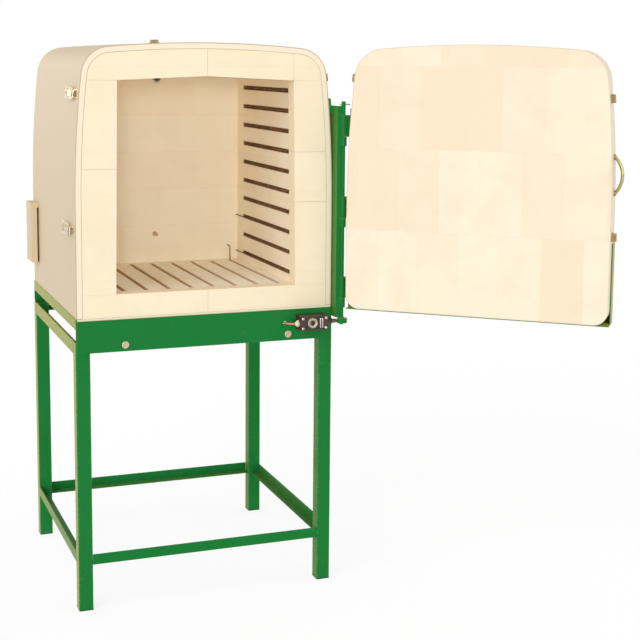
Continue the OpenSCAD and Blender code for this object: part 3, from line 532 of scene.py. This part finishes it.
# Metals end in roughness and stain, fibres in the edge darkening of browning and painted shade, plastics in
# roughness and texture
GALVANISED = Metal("galvanised_pan", srgb(178, 180, 178), "galvanised", srgb(150, 154, 155), 0.4, 0.6)
WASHER = Metal("washer_zinc", srgb(216, 208, 184), "washer_steel", srgb(170, 158, 130), 0.28, 0.3)
BOLT = Metal("bolt_yellow", srgb(206, 186, 148), "bolt_brass", srgb(172, 128, 94), 0.3, 0.5)
FITTING = Metal("yellow_zinc", srgb(170, 150, 112), "fitting_steel", srgb(112, 90, 60), 0.3, 0.6)
LATCH = Metal("latch_zinc", srgb(222, 208, 176), "fitting_steel", srgb(136, 112, 74), 0.24, 0.45)
HANDLE = Metal("handle_brass", srgb(186, 174, 116), "fitting_steel", srgb(126, 110, 62), 0.26, 0.45)
PROBE = Metal("probe_tinted", srgb(216, 192, 158), "probe_steel", srgb(182, 156, 122), 0.55, 0.5, shine=0.3)
TURNED = Metal("turned_steel", srgb(212, 208, 198), "switch_steel", srgb(140, 132, 118), 0.22, 0.3)
BEZEL = Metal("bezel_grey", srgb(190, 178, 152), "switch_steel", srgb(122, 106, 86), 0.3, 0.5)
BRONZED = Metal("bronzed_plunger", srgb(124, 96, 82), "switch_steel", srgb(76, 56, 48), 0.38, 0.5, shine=0.8)
TUBE = Fibre("tube_glaze", srgb(226, 216, 196), "tube_ceramic", srgb(190, 172, 142), 0.4)
CEMENT = Fibre("probe_cement", srgb(226, 202, 168), "tube_ceramic", srgb(196, 168, 132), 0.5)
CASE = Plastic("switch_brown", srgb(64, 43, 32), "switch_case", 0.4, 0.4)
CASE_DARK = Plastic("switch_dark", srgb(36, 28, 26), "switch_case", 0.3, 0.2)
GLAND = Plastic("gland_pale", srgb(234, 220, 196), "gland_plastic", 0.4, 0.2)
RUBBER = Plastic("foot_black", srgb(34, 36, 34), "foot_rubber", 0.6, 0.5)
ELEMENT = Oxide("element_oxide", srgb(116, 80, 48), "element_wire", srgb(144, 104, 64))
# The floor coils get a lighter copy of the same oxide, as painted light for their brighter look
LIT_FLOOR_ELEMENT = Oxide("floor_element_oxide_lit", srgb(146, 110, 72), "element_wire", srgb(170, 132, 90))
LEAD = Sleeving("lead_braid", srgb(222, 146, 118), "lead_sheath")


@dataclass(frozen=True)
class Skin:
    """How one CAD node is dressed.

    Attributes:
        node: The CAD node.
        finish: Its finish.
        edge: Radius of its rounded edges in millimetres, 0 for none.
        upright: Whether only upright edges are rounded.
        segments: Faces across a rounded edge.
    """

    node: str
    finish: Finish
    edge: float = 0.0
    upright: bool = False
    segments: int = 2


def put(name: str, data: Any) -> Object:
    """Puts an object into the scene.

    Args:
        name: Its name.
        data: Its mesh, lamp or camera.

    Returns:
        The object.
    """
    thing = bpy.data.objects.new(name, data)
    bpy.context.scene.collection.objects.link(thing)
    return thing


def to_mesh(bm: bmesh.types.BMesh, name: str, crease: float = math.pi) -> Mesh:
    """Turns a finished bmesh into a smooth mesh.

    Args:
        bm: The bmesh, which is freed.
        name: The mesh's name.
        crease: Angle above which the shading breaks.

    Returns:
        The mesh.
    """
    mesh = bpy.data.meshes.new(name)
    bm.to_mesh(mesh)
    bm.free()
    mesh.shade_smooth()
    mesh.set_sharp_from_angle(angle=crease)
    return mesh


def new_piece(name: str, mesh: Mesh, finish: Finish, body: str = KILN) -> Object:
    """Puts a mesh into the scene as a piece.

    Args:
        name: The piece's name.
        mesh: Its mesh, in the shared frame.
        finish: Its finish.
        body: The CAD body it rides on.

    Returns:
        The piece.
    """
    piece = put(name, mesh)
    mesh.materials.clear()
    mesh.materials.append(finish.material())
    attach(piece, body)
    LOG.info("%s rides on %s", name, body)
    return piece


def settle(piece: Object) -> None:
    """Turns a piece's modifiers into its own plain mesh."""
    graph = bpy.context.evaluated_depsgraph_get()
    mesh = bpy.data.meshes.new_from_object(piece.evaluated_get(graph))
    piece.modifiers.clear()
    piece.data = mesh


def soften(skin: Skin) -> Object:
    """Makes a copy of a CAD node with rounded edges, which replaces it.

    Args:
        skin: The node, its finish and its edges.

    Returns:
        The new piece.
    """
    source = frame["nodes"][skin.node]
    bm = bmesh.new()
    bm.from_mesh(source.data)
    bmesh.ops.remove_doubles(bm, verts=bm.verts, dist=WELD)
    bmesh.ops.dissolve_limit(bm, angle_limit=FLAT, verts=bm.verts, edges=bm.edges)
    sharp = []
    for edge in bm.edges:
        if not edge.is_manifold or edge.calc_face_angle(0.0) < SHARP:
            continue
        run = (edge.verts[1].co - edge.verts[0].co).normalized()
        if not skin.upright or abs(run.z) > PLUMB:
            sharp.append(edge)
    layer = bm.faces.layers.float.new("edge")
    rounded = bmesh.ops.bevel(bm, geom=sharp, offset=skin.edge * MM, offset_type="OFFSET",
                              segments=skin.segments, profile=0.5, affect="EDGES", clamp_overlap=True)
    for face in rounded["faces"]:
        face[layer] = 1.0
    name = skin.node + "_rounded"
    piece = new_piece(name, to_mesh(bm, name, CREASE), skin.finish, source["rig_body"])
    weighted = piece.modifiers.new("weighted", "WEIGHTED_NORMAL")
    weighted.keep_sharp = True
    settle(piece)
    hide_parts(skin.node)
    return piece


def dress(skins: Iterable[Skin]) -> None:
    """Gives CAD nodes their finishes, with rounded copies where a skin has an edge.

    Args:
        skins: The nodes and their finishes.
    """
    for skin in skins:
        if skin.edge:
            soften(skin)
            continue
        node = frame["nodes"][skin.node]
        node.data.materials.clear()
        node.data.materials.append(skin.finish.material())
        LOG.info("%s keeps its CAD shape", skin.node)


def circle(sides: int) -> list[tuple[float, float]]:
    """Points round a unit circle."""
    turns = [math.tau * k / sides for k in range(sides)]
    return [(math.cos(turn), math.sin(turn)) for turn in turns]


def wrap(rings: Sequence[Sequence[Vector]], crease: float, uv: str = "",
         runs: Sequence[float] = ()) -> Mesh:
    """A closed skin over rings of points, with flat ends.

    Args:
        rings: The rings, with as many points each.
        crease: Degrees above which the shading breaks.
        uv: Name of a UV map round and along the rings, or nothing for none.
        runs: Distance of each ring along that map.

    Returns:
        The mesh.
    """
    bm = bmesh.new()
    layer = bm.loops.layers.uv.new(uv) if uv else None
    verts = [[bm.verts.new(point) for point in ring] for ring in rings]
    for i, (low, high) in enumerate(zip(verts, verts[1:])):
        sides = len(low)
        for k in range(sides):
            n = (k + 1) % sides
            face = bm.faces.new((low[k], low[n], high[n], high[k]))
            corners = ((k, i), (k + 1, i), (k + 1, i + 1), (k, i + 1)) if uv else ()
            for loop, (u, v) in zip(face.loops, corners):
                loop[layer].uv = (u / sides, runs[v])
    bm.faces.new(list(reversed(verts[0])))
    bm.faces.new(verts[-1])
    bmesh.ops.recalc_face_normals(bm, faces=bm.faces)
    return to_mesh(bm, "rings", math.radians(crease))


def sweep(path: Sequence[Vector], radius: float, sides: int, uv: str) -> Mesh:
    """A closed round tube along a path, with a UV map round and along it.

    Args:
        path: Its centreline.
        radius: Its radius.
        sides: Faces round it.
        uv: The UV map's name.

    Returns:
        The mesh.
    """
    side = (path[1] - path[0]).orthogonal().normalized()
    rings, runs, run = [], [], 0.0
    for i, spot in enumerate(path):
        ahead = (path[min(i + 1, len(path) - 1)] - path[max(i - 1, 0)]).normalized()
        side = (side - ahead * side.dot(ahead)).normalized()
        other = ahead.cross(side)
        run += (spot - path[i - 1]).length if i else 0.0
        runs.append(run)
        rings.append([spot + radius * (c * side + s * other) for c, s in circle(sides)])
    return wrap(rings, crease=60.0, uv=uv, runs=runs)


def rounded_path(corners: Sequence[Point], radii: Sequence[float], steps: int = 8) -> list[Vector]:
    """A path through corners, each rounded to its own radius.

    Args:
        corners: The corner points.
        radii: Radius at each inner corner, in order.
        steps: Points on each bend.

    Returns:
        The path's points.
    """
    points = [Vector(c) for c in corners]
    path = [points[0]]
    for before, here, after, radius in zip(points, points[1:], points[2:], radii):
        back, on = (before - here).normalized(), (after - here).normalized()
        half = back.angle(on) / 2
        centre = here + (back + on).normalized() * (radius / math.sin(half))
        start, end = here + back * (radius / math.tan(half)), here + on * (radius / math.tan(half))
        for i in range(steps + 1):
            arm = (start - centre).normalized().slerp((end - centre).normalized(), i / steps)
            path.append(centre + radius * arm.normalized())
    path.append(points[-1])
    return [path[0]] + [b for a, b in zip(path, path[1:]) if (b - a).length > WELD]


def facing(spot: Point) -> Matrix:
    """A place at a spot whose local Z points to the front."""
    return Matrix.Translation(spot) @ Matrix.Rotation(math.pi / 2, 4, "X")


def lathe(profile: Profile, sides: int, place: Matrix) -> Mesh:
    """A turned shape.

    Args:
        profile: Radius and height of each ring in millimetres, from one end to the other.
        sides: Faces round it.
        place: Its place; the axis is local Z.

    Returns:
        The mesh.
    """
    points = circle(sides)
    rings = [[place @ Vector((r * MM * c, r * MM * s, h * MM)) for c, s in points] for r, h in profile]
    return wrap(rings, crease=35.0)


class GeoTree:
    """A Geometry Nodes tree with named inputs, run on an empty piece."""

    def __init__(self, name: str, inputs: dict[str, str]) -> None:
        """Makes the tree with its inputs and its output.

        Args:
            name: The tree's name.
            inputs: Its inputs, each with its socket type without NodeSocket.
        """
        self.tree = bpy.data.node_groups.new(name, "GeometryNodeTree")
        self.tree.interface.new_socket("Geometry", in_out="OUTPUT", socket_type="NodeSocketGeometry")
        self.group = self.tree.nodes.new("NodeGroupInput")
        self.output = self.tree.nodes.new("NodeGroupOutput")
        self.ids: dict[str, str] = {}
        for key, kind in inputs.items():
            made = self.tree.interface.new_socket(key, in_out="INPUT", socket_type="NodeSocket" + kind)
            self.ids[key] = made.identifier

    def __getitem__(self, name: str) -> NodeSocket:
        """The socket that the tree reads an input from."""
        return self.group.outputs[name]

    def node(self, kind: str, settings: dict[str, Any], inputs: dict[str, Any]) -> Node:
        """Adds one node.

        Args:
            kind: Its type, without GeometryNode.
            settings: Its own settings.
            inputs: Values or sockets by input name.

        Returns:
            The node.
        """
        made = self.tree.nodes.new("GeometryNode" + kind)
        for key, value in settings.items():
            setattr(made, key, value)
        for key, value in inputs.items():
            if isinstance(value, NodeSocket):
                self.tree.links.new(value, made.inputs[key])
            else:
                made.inputs[key].default_value = value
        return made

    def close(self, instances: Node) -> None:
        """Ends the tree in plain, finished geometry.

        Args:
            instances: The node whose instances are kept.
        """
        real = self.node("RealizeInstances", {}, {"Geometry": instances.outputs[0]})
        dressed = self.node("SetMaterial", {}, {"Geometry": real.outputs[0], "Material": self["Material"]})
        self.tree.links.new(dressed.outputs[0], self.output.inputs[0])

    def run(self, name: str, finish: Finish, values: dict[str, Any]) -> Object:
        """Makes a piece from the tree.

        Args:
            name: The piece's name.
            finish: Its finish.
            values: Its inputs by name.

        Returns:
            The piece, as a plain mesh.
        """
        piece = put(name, bpy.data.meshes.new(name))
        modifier = piece.modifiers.new(name, "NODES")
        modifier.node_group = self.tree
        modifier[self.ids["Material"]] = finish.material()
        for key, value in values.items():
            modifier[self.ids[key]] = value
        settle(piece)
        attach(piece, KILN)
        LOG.info("%s: %d faces from nodes", name, len(piece.data.polygons))
        return piece


def coil_tree() -> GeoTree:
    """Rows of wire coils that lie along Y.

    Returns:
        The tree.
    """
    geo = GeoTree("coil_rows", {
        "Length": "Float", "Turns": "Float", "Coil Radius": "Float", "Wire Radius": "Float",
        "Start": "Vector", "Step": "Vector", "Count": "Int", "Material": "Material"})
    radius = geo["Coil Radius"]
    spiral = geo.node("CurveSpiral", {}, {"Resolution": 9, "Rotations": geo["Turns"], "Start Radius": radius,
                                          "End Radius": radius, "Height": geo["Length"]})
    laid = geo.node("Transform", {}, {"Geometry": spiral.outputs[0], "Rotation": (-math.pi / 2, 0.0, 0.0)})
    profile = geo.node("CurvePrimitiveCircle", {"mode": "RADIUS"},
                       {"Resolution": 5, "Radius": geo["Wire Radius"]})
    coil = geo.node("CurveToMesh", {}, {"Curve": laid.outputs[0], "Profile Curve": profile.outputs[0],
                                        "Fill Caps": True})
    smooth = geo.node("SetShadeSmooth", {}, {"Geometry": coil.outputs[0]})
    rows = geo.node("MeshLine", {"mode": "OFFSET"},
                    {"Count": geo["Count"], "Start Location": geo["Start"], "Offset": geo["Step"]})
    geo.close(geo.node("InstanceOnPoints", {}, {"Points": rows.outputs[0], "Instance": smooth.outputs[0]}))
    return geo


def grid_tree() -> GeoTree:
    """One template set at the points of an upright grid.

    Returns:
        The tree.
    """
    geo = GeoTree("upright_grid", {
        "Template": "Object", "Centre": "Vector", "Width": "Float", "Height": "Float",
        "Across": "Int", "Up": "Int", "Material": "Material"})
    grid = geo.node("MeshGrid", {}, {"Size X": geo["Width"], "Size Y": geo["Height"],
                                     "Vertices X": geo["Across"], "Vertices Y": geo["Up"]})
    stood = geo.node("Transform", {}, {"Geometry": grid.outputs[0], "Rotation": (math.pi / 2, 0.0, 0.0),
                                       "Translation": geo["Centre"]})
    shape = geo.node("ObjectInfo", {}, {"Object": geo["Template"]})
    geo.close(geo.node("InstanceOnPoints", {}, {"Points": stood.outputs[0],
                                                "Instance": shape.outputs["Geometry"]}))
    return geo


@dataclass(frozen=True)
class Lamp:
    """A soft distant lamp.

    Attributes:
        name: Its name.
        azimuth, height: Degrees from -Y towards -X that it stands at, and above level.
        strength: Light on a surface that faces it, 1 for a plain level.
        soft: Its width in degrees.
        colour: Its colour.
    """

    name: str
    azimuth: float
    height: float
    strength: float
    soft: float
    colour: Colour = (1.0, 1.0, 1.0)

    def hang(self) -> None:
        """Puts the lamp into the scene."""
        data = bpy.data.lights.new(self.name, "SUN")
        data.energy, data.angle, data.color = self.strength * math.pi, math.radians(self.soft), self.colour
        a, h = math.radians(self.azimuth), math.radians(self.height)
        towards = Vector((-math.sin(a) * math.cos(h), -math.cos(a) * math.cos(h), math.sin(h)))
        put(self.name, data).rotation_euler = towards.to_track_quat("Z", "Y").to_euler()

    def on_floor(self) -> float:
        """Light that it gives a level floor."""
        return self.strength * math.sin(math.radians(self.height))


@dataclass
class Studio:
    """Camera, light and floor.

    Attributes:
        spot: Where the camera stands.
        yaw, pitch, roll: Degrees from +Y towards +X, below level, and of lean.
        lens, film: Focal length, and width of the frame it goes with, in millimetres.
        shift: How far the picture is cut from below the lens axis.
        sky: Strength of the light from all round.
        lamps: The lamps.
        white: The floor's own colour.
        shown: Share of the floor that is plain white to the camera; the rest keeps shadows.
        bounces: How often light is passed on between the pale chamber walls.
        reach: Half the floor's width.
    """

    spot: Point = (-1.0505, -3.9719, 1.5360)
    yaw: float = 20.949
    pitch: float = 7.530
    roll: float = 0.513
    lens: float = 76.176
    film: float = 36.0
    shift: float = -0.125
    sky: float = 0.56
    lamps: tuple[Lamp, ...] = (
        Lamp("key", 13.0, 3.0, 0.27, 12.0), Lamp("fill", 58.0, 30.0, 0.29, 50.0),
        Lamp("rear", 150.0, 8.0, 0.16, 40.0), Lamp("side", -80.0, 20.0, 0.16, 50.0))
    white: float = 0.96
    shown: float = 0.75
    bounces: int = 12
    reach: float = 60.0

    def camera(self) -> None:
        """Makes the camera at the picture's viewing angle."""
        yaw, pitch, roll = (math.radians(a) for a in (self.yaw, self.pitch, self.roll))
        ahead = Vector((math.sin(yaw) * math.cos(pitch), math.cos(yaw) * math.cos(pitch), -math.sin(pitch)))
        level = Vector((math.cos(yaw), -math.sin(yaw), 0.0))
        above = level.cross(ahead)
        right = math.cos(roll) * level + math.sin(roll) * above
        top = -math.sin(roll) * level + math.cos(roll) * above
        data = bpy.data.cameras.new("camera")
        data.lens, data.sensor_width, data.shift_y = self.lens, self.film, self.shift
        data.clip_start, data.clip_end = 0.05, 100.0
        camera = put("camera", data)
        turned = Matrix((right, top, -ahead)).transposed().to_4x4()
        camera.matrix_world = Matrix.Translation(self.spot) @ turned
        bpy.context.scene.camera = camera

    def blend(self, tree: NodeTree, output: str, share: float, shaders: Shaders) -> None:
        """Fills a tree with two shaders, the second only for what the camera, mirrors and glass see.

        Args:
            tree: The tree, which is emptied first.
            output: Type of its output node.
            share: Share of the second shader in what is seen.
            shaders: Types of the two shaders, with the values of their inputs.
        """
        tree.nodes.clear()
        path = tree.nodes.new("ShaderNodeLightPath")
        seen = path.outputs["Is Camera Ray"]
        for name in ("Is Glossy Ray", "Is Transmission Ray"):
            plus = tree.nodes.new("ShaderNodeMath")
            plus.operation, plus.use_clamp = "ADD", True
            tree.links.new(seen, plus.inputs[0])
            tree.links.new(path.outputs[name], plus.inputs[1])
            seen = plus.outputs[0]
        part = tree.nodes.new("ShaderNodeMath")
        part.operation = "MULTIPLY"
        part.inputs[1].default_value = share
        mixed = tree.nodes.new("ShaderNodeMixShader")
        tree.links.new(seen, part.inputs[0])
        tree.links.new(part.outputs[0], mixed.inputs[0])
        for socket, (kind, values) in zip(mixed.inputs[1:], shaders):
            made = tree.nodes.new(kind)
            for name, value in values.items():
                made.inputs[name].default_value = value
            tree.links.new(made.outputs[0], socket)
        tree.links.new(mixed.outputs[0], tree.nodes.new(output).inputs[0])

    def world(self) -> None:
        """White surroundings, at a lower level for the light they give."""
        world = bpy.data.worlds.new("white")
        world.use_nodes = True
        white = {"Color": (1.0, 1.0, 1.0, 1.0)}
        self.blend(world.node_tree, "ShaderNodeOutputWorld", 1.0, (
            ("ShaderNodeBackground", white | {"Strength": self.sky}), ("ShaderNodeBackground", white)))
        bpy.context.scene.world = world

    def floor(self) -> None:
        """A plain white floor that keeps a soft shadow."""
        mesh = bpy.data.meshes.new("floor")
        corners = [(x * self.reach, y * self.reach, 0) for x, y in ((-1, -1), (1, -1), (1, 1), (-1, 1))]
        mesh.from_pydata(corners, [], [(0, 1, 2, 3)])
        material = bpy.data.materials.new("floor_white")
        material.use_nodes = True
        lit = self.white * (self.sky + sum(lamp.on_floor() for lamp in self.lamps))
        glow = (1.0 - (1.0 - self.shown) * lit) / self.shown
        self.blend(material.node_tree, "ShaderNodeOutputMaterial", self.shown, (
            ("ShaderNodeBsdfDiffuse", {"Color": (self.white, self.white, self.white, 1.0)}),
            ("ShaderNodeEmission", {"Strength": glow})))
        mesh.materials.append(material)
        put("floor", mesh)

    def light(self) -> None:
        """Lights the object at a plain level."""
        bpy.context.scene.view_settings.view_transform = "Standard"
        bpy.context.scene.cycles.diffuse_bounces = self.bounces
        self.world()
        for lamp in self.lamps:
            lamp.hang()
        self.floor()


@dataclass
class Stand:
    """Square-tube legs and angle rails."""

    corner: float = 3.2
    rail_edge: float = 0.9

    def build(self) -> None:
        """Dresses the legs, the rails and the foot plugs."""
        legs = ("leg_front_left", "leg_front_right", "leg_rear_left", "leg_rear_right")
        dress(Skin(leg, GREEN, self.corner, upright=True, segments=4) for leg in legs)
        dress(Skin(rail, GREEN, self.rail_edge) for rail in ("top_cross_rails", "top_side_rails"))
        shelf = ("shelf_cross_rails", "shelf_side_rails")
        dress(Skin(rail, SHADED_GREEN, self.rail_edge) for rail in shelf)
        dress([Skin("foot_plugs", RUBBER, 0.9)])


@dataclass
class Base:
    """Base frame, aprons and their bolts."""

    edge: float = 0.9

    def build(self) -> None:
        """Dresses the base."""
        dress(Skin(node, GREEN, self.edge) for node in ("base_frame", "front_apron", "rear_apron"))
        dress([Skin("base_pan", GALVANISED, 0.4), Skin("floor_board", FIBRE, 0.8),
               Skin("apron_bolts", BOLT, 1.4, segments=3), Skin("apron_washers", WASHER, 0.5)])


@dataclass
class Shell:
    """Jacket, fibre and terminal cover."""

    def build(self) -> None:
        """Dresses the shell."""
        dress([Skin("jacket", JACKET, 0.35), Skin("rear_panel", JACKET, 0.35),
               Skin("fibre_blanket", FIBRE, 1.6), Skin("back_fibre", FIBRE),
               Skin("terminal_cover", JACKET, 0.5), Skin("terminal_block", TUBE, 0.6),
               Skin("jacket_clamps", FITTING, 0.6)])


@dataclass
class Chamber:
    """Brick lining, its mouth and what comes through its back.

    Attributes:
        chip: Radius of the lining's edges in millimetres.
        probe: Place of the thermocouple, across and up.
        ring: Profile of the cement round it.
    """

    chip: float = 1.2
    probe: tuple[float, float] = (-0.014, 0.987)
    ring: Profile = ((8.6, -0.4), (8.3, 0.6), (7.2, 1.5), (5.6, 1.8), (4.8, 1.2), (4.6, 0.3))

    def cement(self) -> None:
        """Seats the thermocouple in a ring of cement on the back wall."""
        spot = (self.probe[0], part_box("back_wall")[0][1], self.probe[1])
        new_piece("probe_ring", lathe(self.ring, sides=28, place=facing(spot)), CEMENT)

    def build(self) -> None:
        """Dresses the bricks, the vent and the thermocouple."""
        dress([Skin("floor_bricks", FLOOR, self.chip), Skin("left_wall", SIDE, self.chip),
               Skin("right_wall", SIDE, self.chip), Skin("back_wall", BACK, 0.8),
               Skin("roof_slabs", ROOF, self.chip)])
        dress(Skin(node, FACE, 0.15) for node in ("left_jamb", "right_jamb", "lintel", "sill"))
        dress([Skin("thermocouple", PROBE, 0.8), Skin("vent_tube", TUBE, 1.0)])
        self.cement()


@dataclass
class Heating:
    """Coiled elements in the grooves, and their tails.

    Attributes:
        coil, wire: Radius of a coil at its wire's middle, and of the wire.
        pitch: Distance between turns.
        front, wall_rear, floor_rear: Front end of every coil, and rear ends in the walls and the floor.
        wall_x, wall_z: Place of a wall's lowest coil, out from the middle and up.
        wall_step, wall_rows: Distance between the wall coils, and how many there are.
        floor_x, floor_z: Place of the first floor coil, across and up.
        floor_step, floor_rows: Distance between the floor coils, and how many there are.
        tail, bend: Radius of a tail and of its bends.
        tail_in: Distance of a tail from its coil's rear end.
        tail_x, tail_top: Distance of the wall tails from the middle, and height of the floor tails.
        tail_rows: Rows of a wall that have a tail.
        back: Where the tails end, inside the back wall.
    """

    coil: float = 3.6 * MM
    wire: float = 0.9 * MM
    pitch: float = 4.6 * MM
    front: float = -0.298
    wall_rear: float = 0.146
    floor_rear: float = 0.186
    wall_x: float = 0.2685
    wall_z: float = 0.9234
    wall_step: float = 0.0584
    wall_rows: int = 10
    floor_x: float = -0.228375
    floor_z: float = 0.8857
    floor_step: float = 0.06525
    floor_rows: int = 8
    tail: float = 1.6 * MM
    tail_in: float = 4 * MM
    tail_x: float = 0.257
    tail_rows: tuple[int, ...] = (0, 2)
    tail_top: float = 0.941
    bend: float = 5 * MM
    back: float = 0.250

    def coils(self) -> None:
        """Lays the coils in the walls and the floor."""
        tree = coil_tree()
        up, across = (0.0, 0.0, self.wall_step), (self.floor_step, 0.0, 0.0)
        wall = ("wall_elements", ELEMENT, self.wall_rear, self.wall_z, up, self.wall_rows)
        floor = ("floor_elements", LIT_FLOOR_ELEMENT, self.floor_rear, self.floor_z, across, self.floor_rows)
        sets = (("left_coils", -self.wall_x, wall), ("right_coils", self.wall_x, wall),
                ("floor_coils", self.floor_x, floor))
        for name, x, (node, finish, rear, z, step, count) in sets:
            length = rear - self.front
            piece = tree.run(name, finish, {
                "Length": length, "Turns": length / self.pitch, "Coil Radius": self.coil,
                "Wire Radius": self.wire, "Start": (x, self.front, z), "Step": step, "Count": count})
            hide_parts(node)

    def tails(self) -> None:
        """Leads the elements' ends out of their grooves and into the back wall."""
        for hand, side in (("left", -1), ("right", 1)):
            routes = {}
            start, out, y = side * self.wall_x, side * self.tail_x, self.wall_rear - self.tail_in
            for row in self.tail_rows:
                z = self.wall_z + row * self.wall_step
                routes[f"{hand}_tail_{row}"] = [(start, y, z), (out, y, z), (out, self.back, z)]
            x, y, top = side * -self.floor_x, self.floor_rear - self.tail_in, self.tail_top
            routes[f"{hand}_floor_tail"] = [(x, y, self.floor_z), (x, y, top), (x, self.back, top)]
            for name, route in routes.items():
                path = rounded_path(route, (self.bend,))
                new_piece(name, sweep(path, self.tail, sides=10, uv="wire"), ELEMENT)

    def build(self) -> None:
        """Makes the elements."""
        self.coils()
        self.tails()


@dataclass
class HingeWork:
    """Post, rod, leaves and cam."""

    def build(self) -> None:
        """Dresses the hinge."""
        dress([Skin("hinge_post", GREEN, 0.8), Skin("hinge_leaves", GREEN, 0.8),
               Skin("hinge_rod", GREEN, 1.0), Skin("split_pin", TURNED, 0.6), Skin("switch_cam", GREEN, 0.6)])


@dataclass
class Door:
    """Door bricks in their band and angle frame."""

    def build(self) -> None:
        """Dresses the door."""
        dress([Skin("door_frame", GREEN, 0.8), Skin("door_band", LIT_BAND, 0.35),
               Skin("door_panel", JACKET, 0.35), Skin("door_fibre", FIBRE),
               Skin("door_bricks", DOOR_FACE, 1.6, segments=3), Skin("door_handle", HANDLE, 0.7),
               Skin("door_catches", FITTING, 0.5), Skin("door_clamp", FITTING, 0.6)])


@dataclass
class Latches:
    """Draw latches on the left side."""

    edge: float = 0.5

    def build(self) -> None:
        """Dresses the latches."""
        dress(Skin(node, LATCH, self.edge) for node in ("latch_bases", "upper_lever", "lower_lever"))
        dress(Skin(node, LATCH) for node in ("upper_bail", "lower_bail"))


@dataclass
class DoorSwitch:
    """Switch that the door's cam works, and its lead.

    Attributes:
        low, high: Lowest and highest corner of the housing.
        face: The cover's front face.
        screw_in: Distance of the screws from the cover's edges.
        lead, bends, bore: Corners of the lead's route, its bend radii in order, and its radius.
        ring: Middle of the ring on the cover, across and up from the low corner.
        window, window_size: Middle of the dark window across from there, and its size in millimetres.
        strips, strip_size: Middles of the two strips across from there, and their size in millimetres.
        screw, bezel, cap: Profiles of a screw's head, of the ring and of the cap in it.
    """

    low: Point = (0.261, -0.397, 0.769)
    high: Point = (0.345, -0.354, 0.811)
    face: float = -0.400
    screw_in: float = 7 * MM
    lead: tuple[Point, ...] = ((0.250, -0.380, 0.788), (0.228, -0.380, 0.788), (0.228, -0.288, 0.788),
                               (0.228, -0.288, 0.805))
    bends: tuple[float, float] = (22 * MM, 12 * MM)
    bore: float = 2.75 * MM
    ring: tuple[float, float] = (36 * MM, 22 * MM)
    window: float = 43 * MM
    window_size: Point = (52.0, 1.8, 34.0)
    strips: tuple[float, float] = (59.5 * MM, 66 * MM)
    strip_size: Point = (3.6, 3.6, 29.0)
    screw: Profile = ((4.0, 0.0), (3.9, 0.9), (3.3, 1.6), (2.2, 2.0), (2.2, 0.9))
    bezel: Profile = ((15.0, -0.4), (15.0, 1.8), (14.0, 2.8), (9.0, 2.6), (7.6, 1.8), (7.4, 0.6))
    cap: Profile = ((7.0, -0.2), (7.0, 1.4), (6.0, 2.4), (4.0, 2.9), (1.5, 3.1))

    def cord(self) -> None:
        """Lays the lead from the gland, through the apron and up into the base."""
        path = rounded_path(self.lead, self.bends, steps=14)
        piece = new_piece("switch_lead_braid", sweep(path, self.bore, sides=16, uv="lead"), LEAD)
        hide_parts("switch_lead")
        length = sum((b - a).length for a, b in zip(path, path[1:]))

    def screws(self) -> None:
        """Sets pan-head screws in the cover's corners."""
        mesh = lathe(self.screw, sides=16, place=facing((0.0, 0.0, 0.0)))
        mesh.shade_flat()
        template = put("screw", mesh)
        wide, high = (self.high[i] - self.low[i] - 2 * self.screw_in for i in (0, 2))
        centre = ((self.low[0] + self.high[0]) / 2, self.face, (self.low[2] + self.high[2]) / 2)
        piece = grid_tree().run("switch_screw_heads", TURNED, {
            "Template": template, "Centre": centre, "Width": wide, "Height": high, "Across": 2, "Up": 2})
        bpy.data.objects.remove(template)
        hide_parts("switch_screws")

    def front(self) -> None:
        """Adds the dark window on the cover, with its ring, a dark cap in the ring that paints the shade of
        its hole, and two bright strips.
        """
        spot = (self.low[0] + self.ring[0], self.face, self.low[2] + self.ring[1])
        new_piece("switch_ring", lathe(self.bezel, sides=40, place=facing(spot)), BEZEL)
        # The cap is dark to paint the shade of the hole in the ring
        new_piece("switch_cap", lathe(self.cap, sides=32, place=facing(spot)), CASE_DARK)
        self.bars("switch_window", CASE_DARK, (self.window,), self.window_size, edge=0.6)
        self.bars("switch_strips", TURNED, self.strips, self.strip_size, edge=0.9)

    def bars(self, name: str, finish: Finish, across: Sequence[float], size: Point, edge: float) -> None:
        """Sets rounded bars on the cover, level with its middle.

        Args:
            name: The piece's name.
            finish: Its finish.
            across: Middle of each bar, across from the housing's lowest corner.
            size: Width, depth and height of a bar in millimetres.
            edge: Radius of its edges in millimetres.
        """
        bm = bmesh.new()
        for middle in across:
            spot = (self.low[0] + middle, self.face, (self.low[2] + self.high[2]) / 2)
            bar = bmesh.ops.create_cube(bm, size=MM)["verts"]
            bmesh.ops.scale(bm, verts=bar, vec=size)
            bmesh.ops.translate(bm, verts=bar, vec=spot)
        bmesh.ops.bevel(bm, geom=bm.edges[:], offset=edge * MM, segments=3, profile=0.5, affect="EDGES")
        new_piece(name, to_mesh(bm, name), finish)

    def build(self) -> None:
        """Dresses the switch."""
        dress([Skin("switch_body", CASE, 1.6, segments=3), Skin("switch_cover", CASE, 0.9, segments=3),
               Skin("switch_plunger", BRONZED), Skin("switch_gland", GLAND, 0.7)])
        self.screws()
        self.front()


def main() -> None:
    """Builds the scene in order."""
    logging.basicConfig(level=logging.INFO, format="%(message)s")
    studio = Studio()
    studio.camera()
    switch = DoorSwitch()
    switch.cord()
    for part in (Stand(), Base(), Shell(), Chamber(), Heating(), HingeWork(), Door(), Latches(), switch):
        part.build()
    studio.light()


if __name__ == "__main__":
    main()
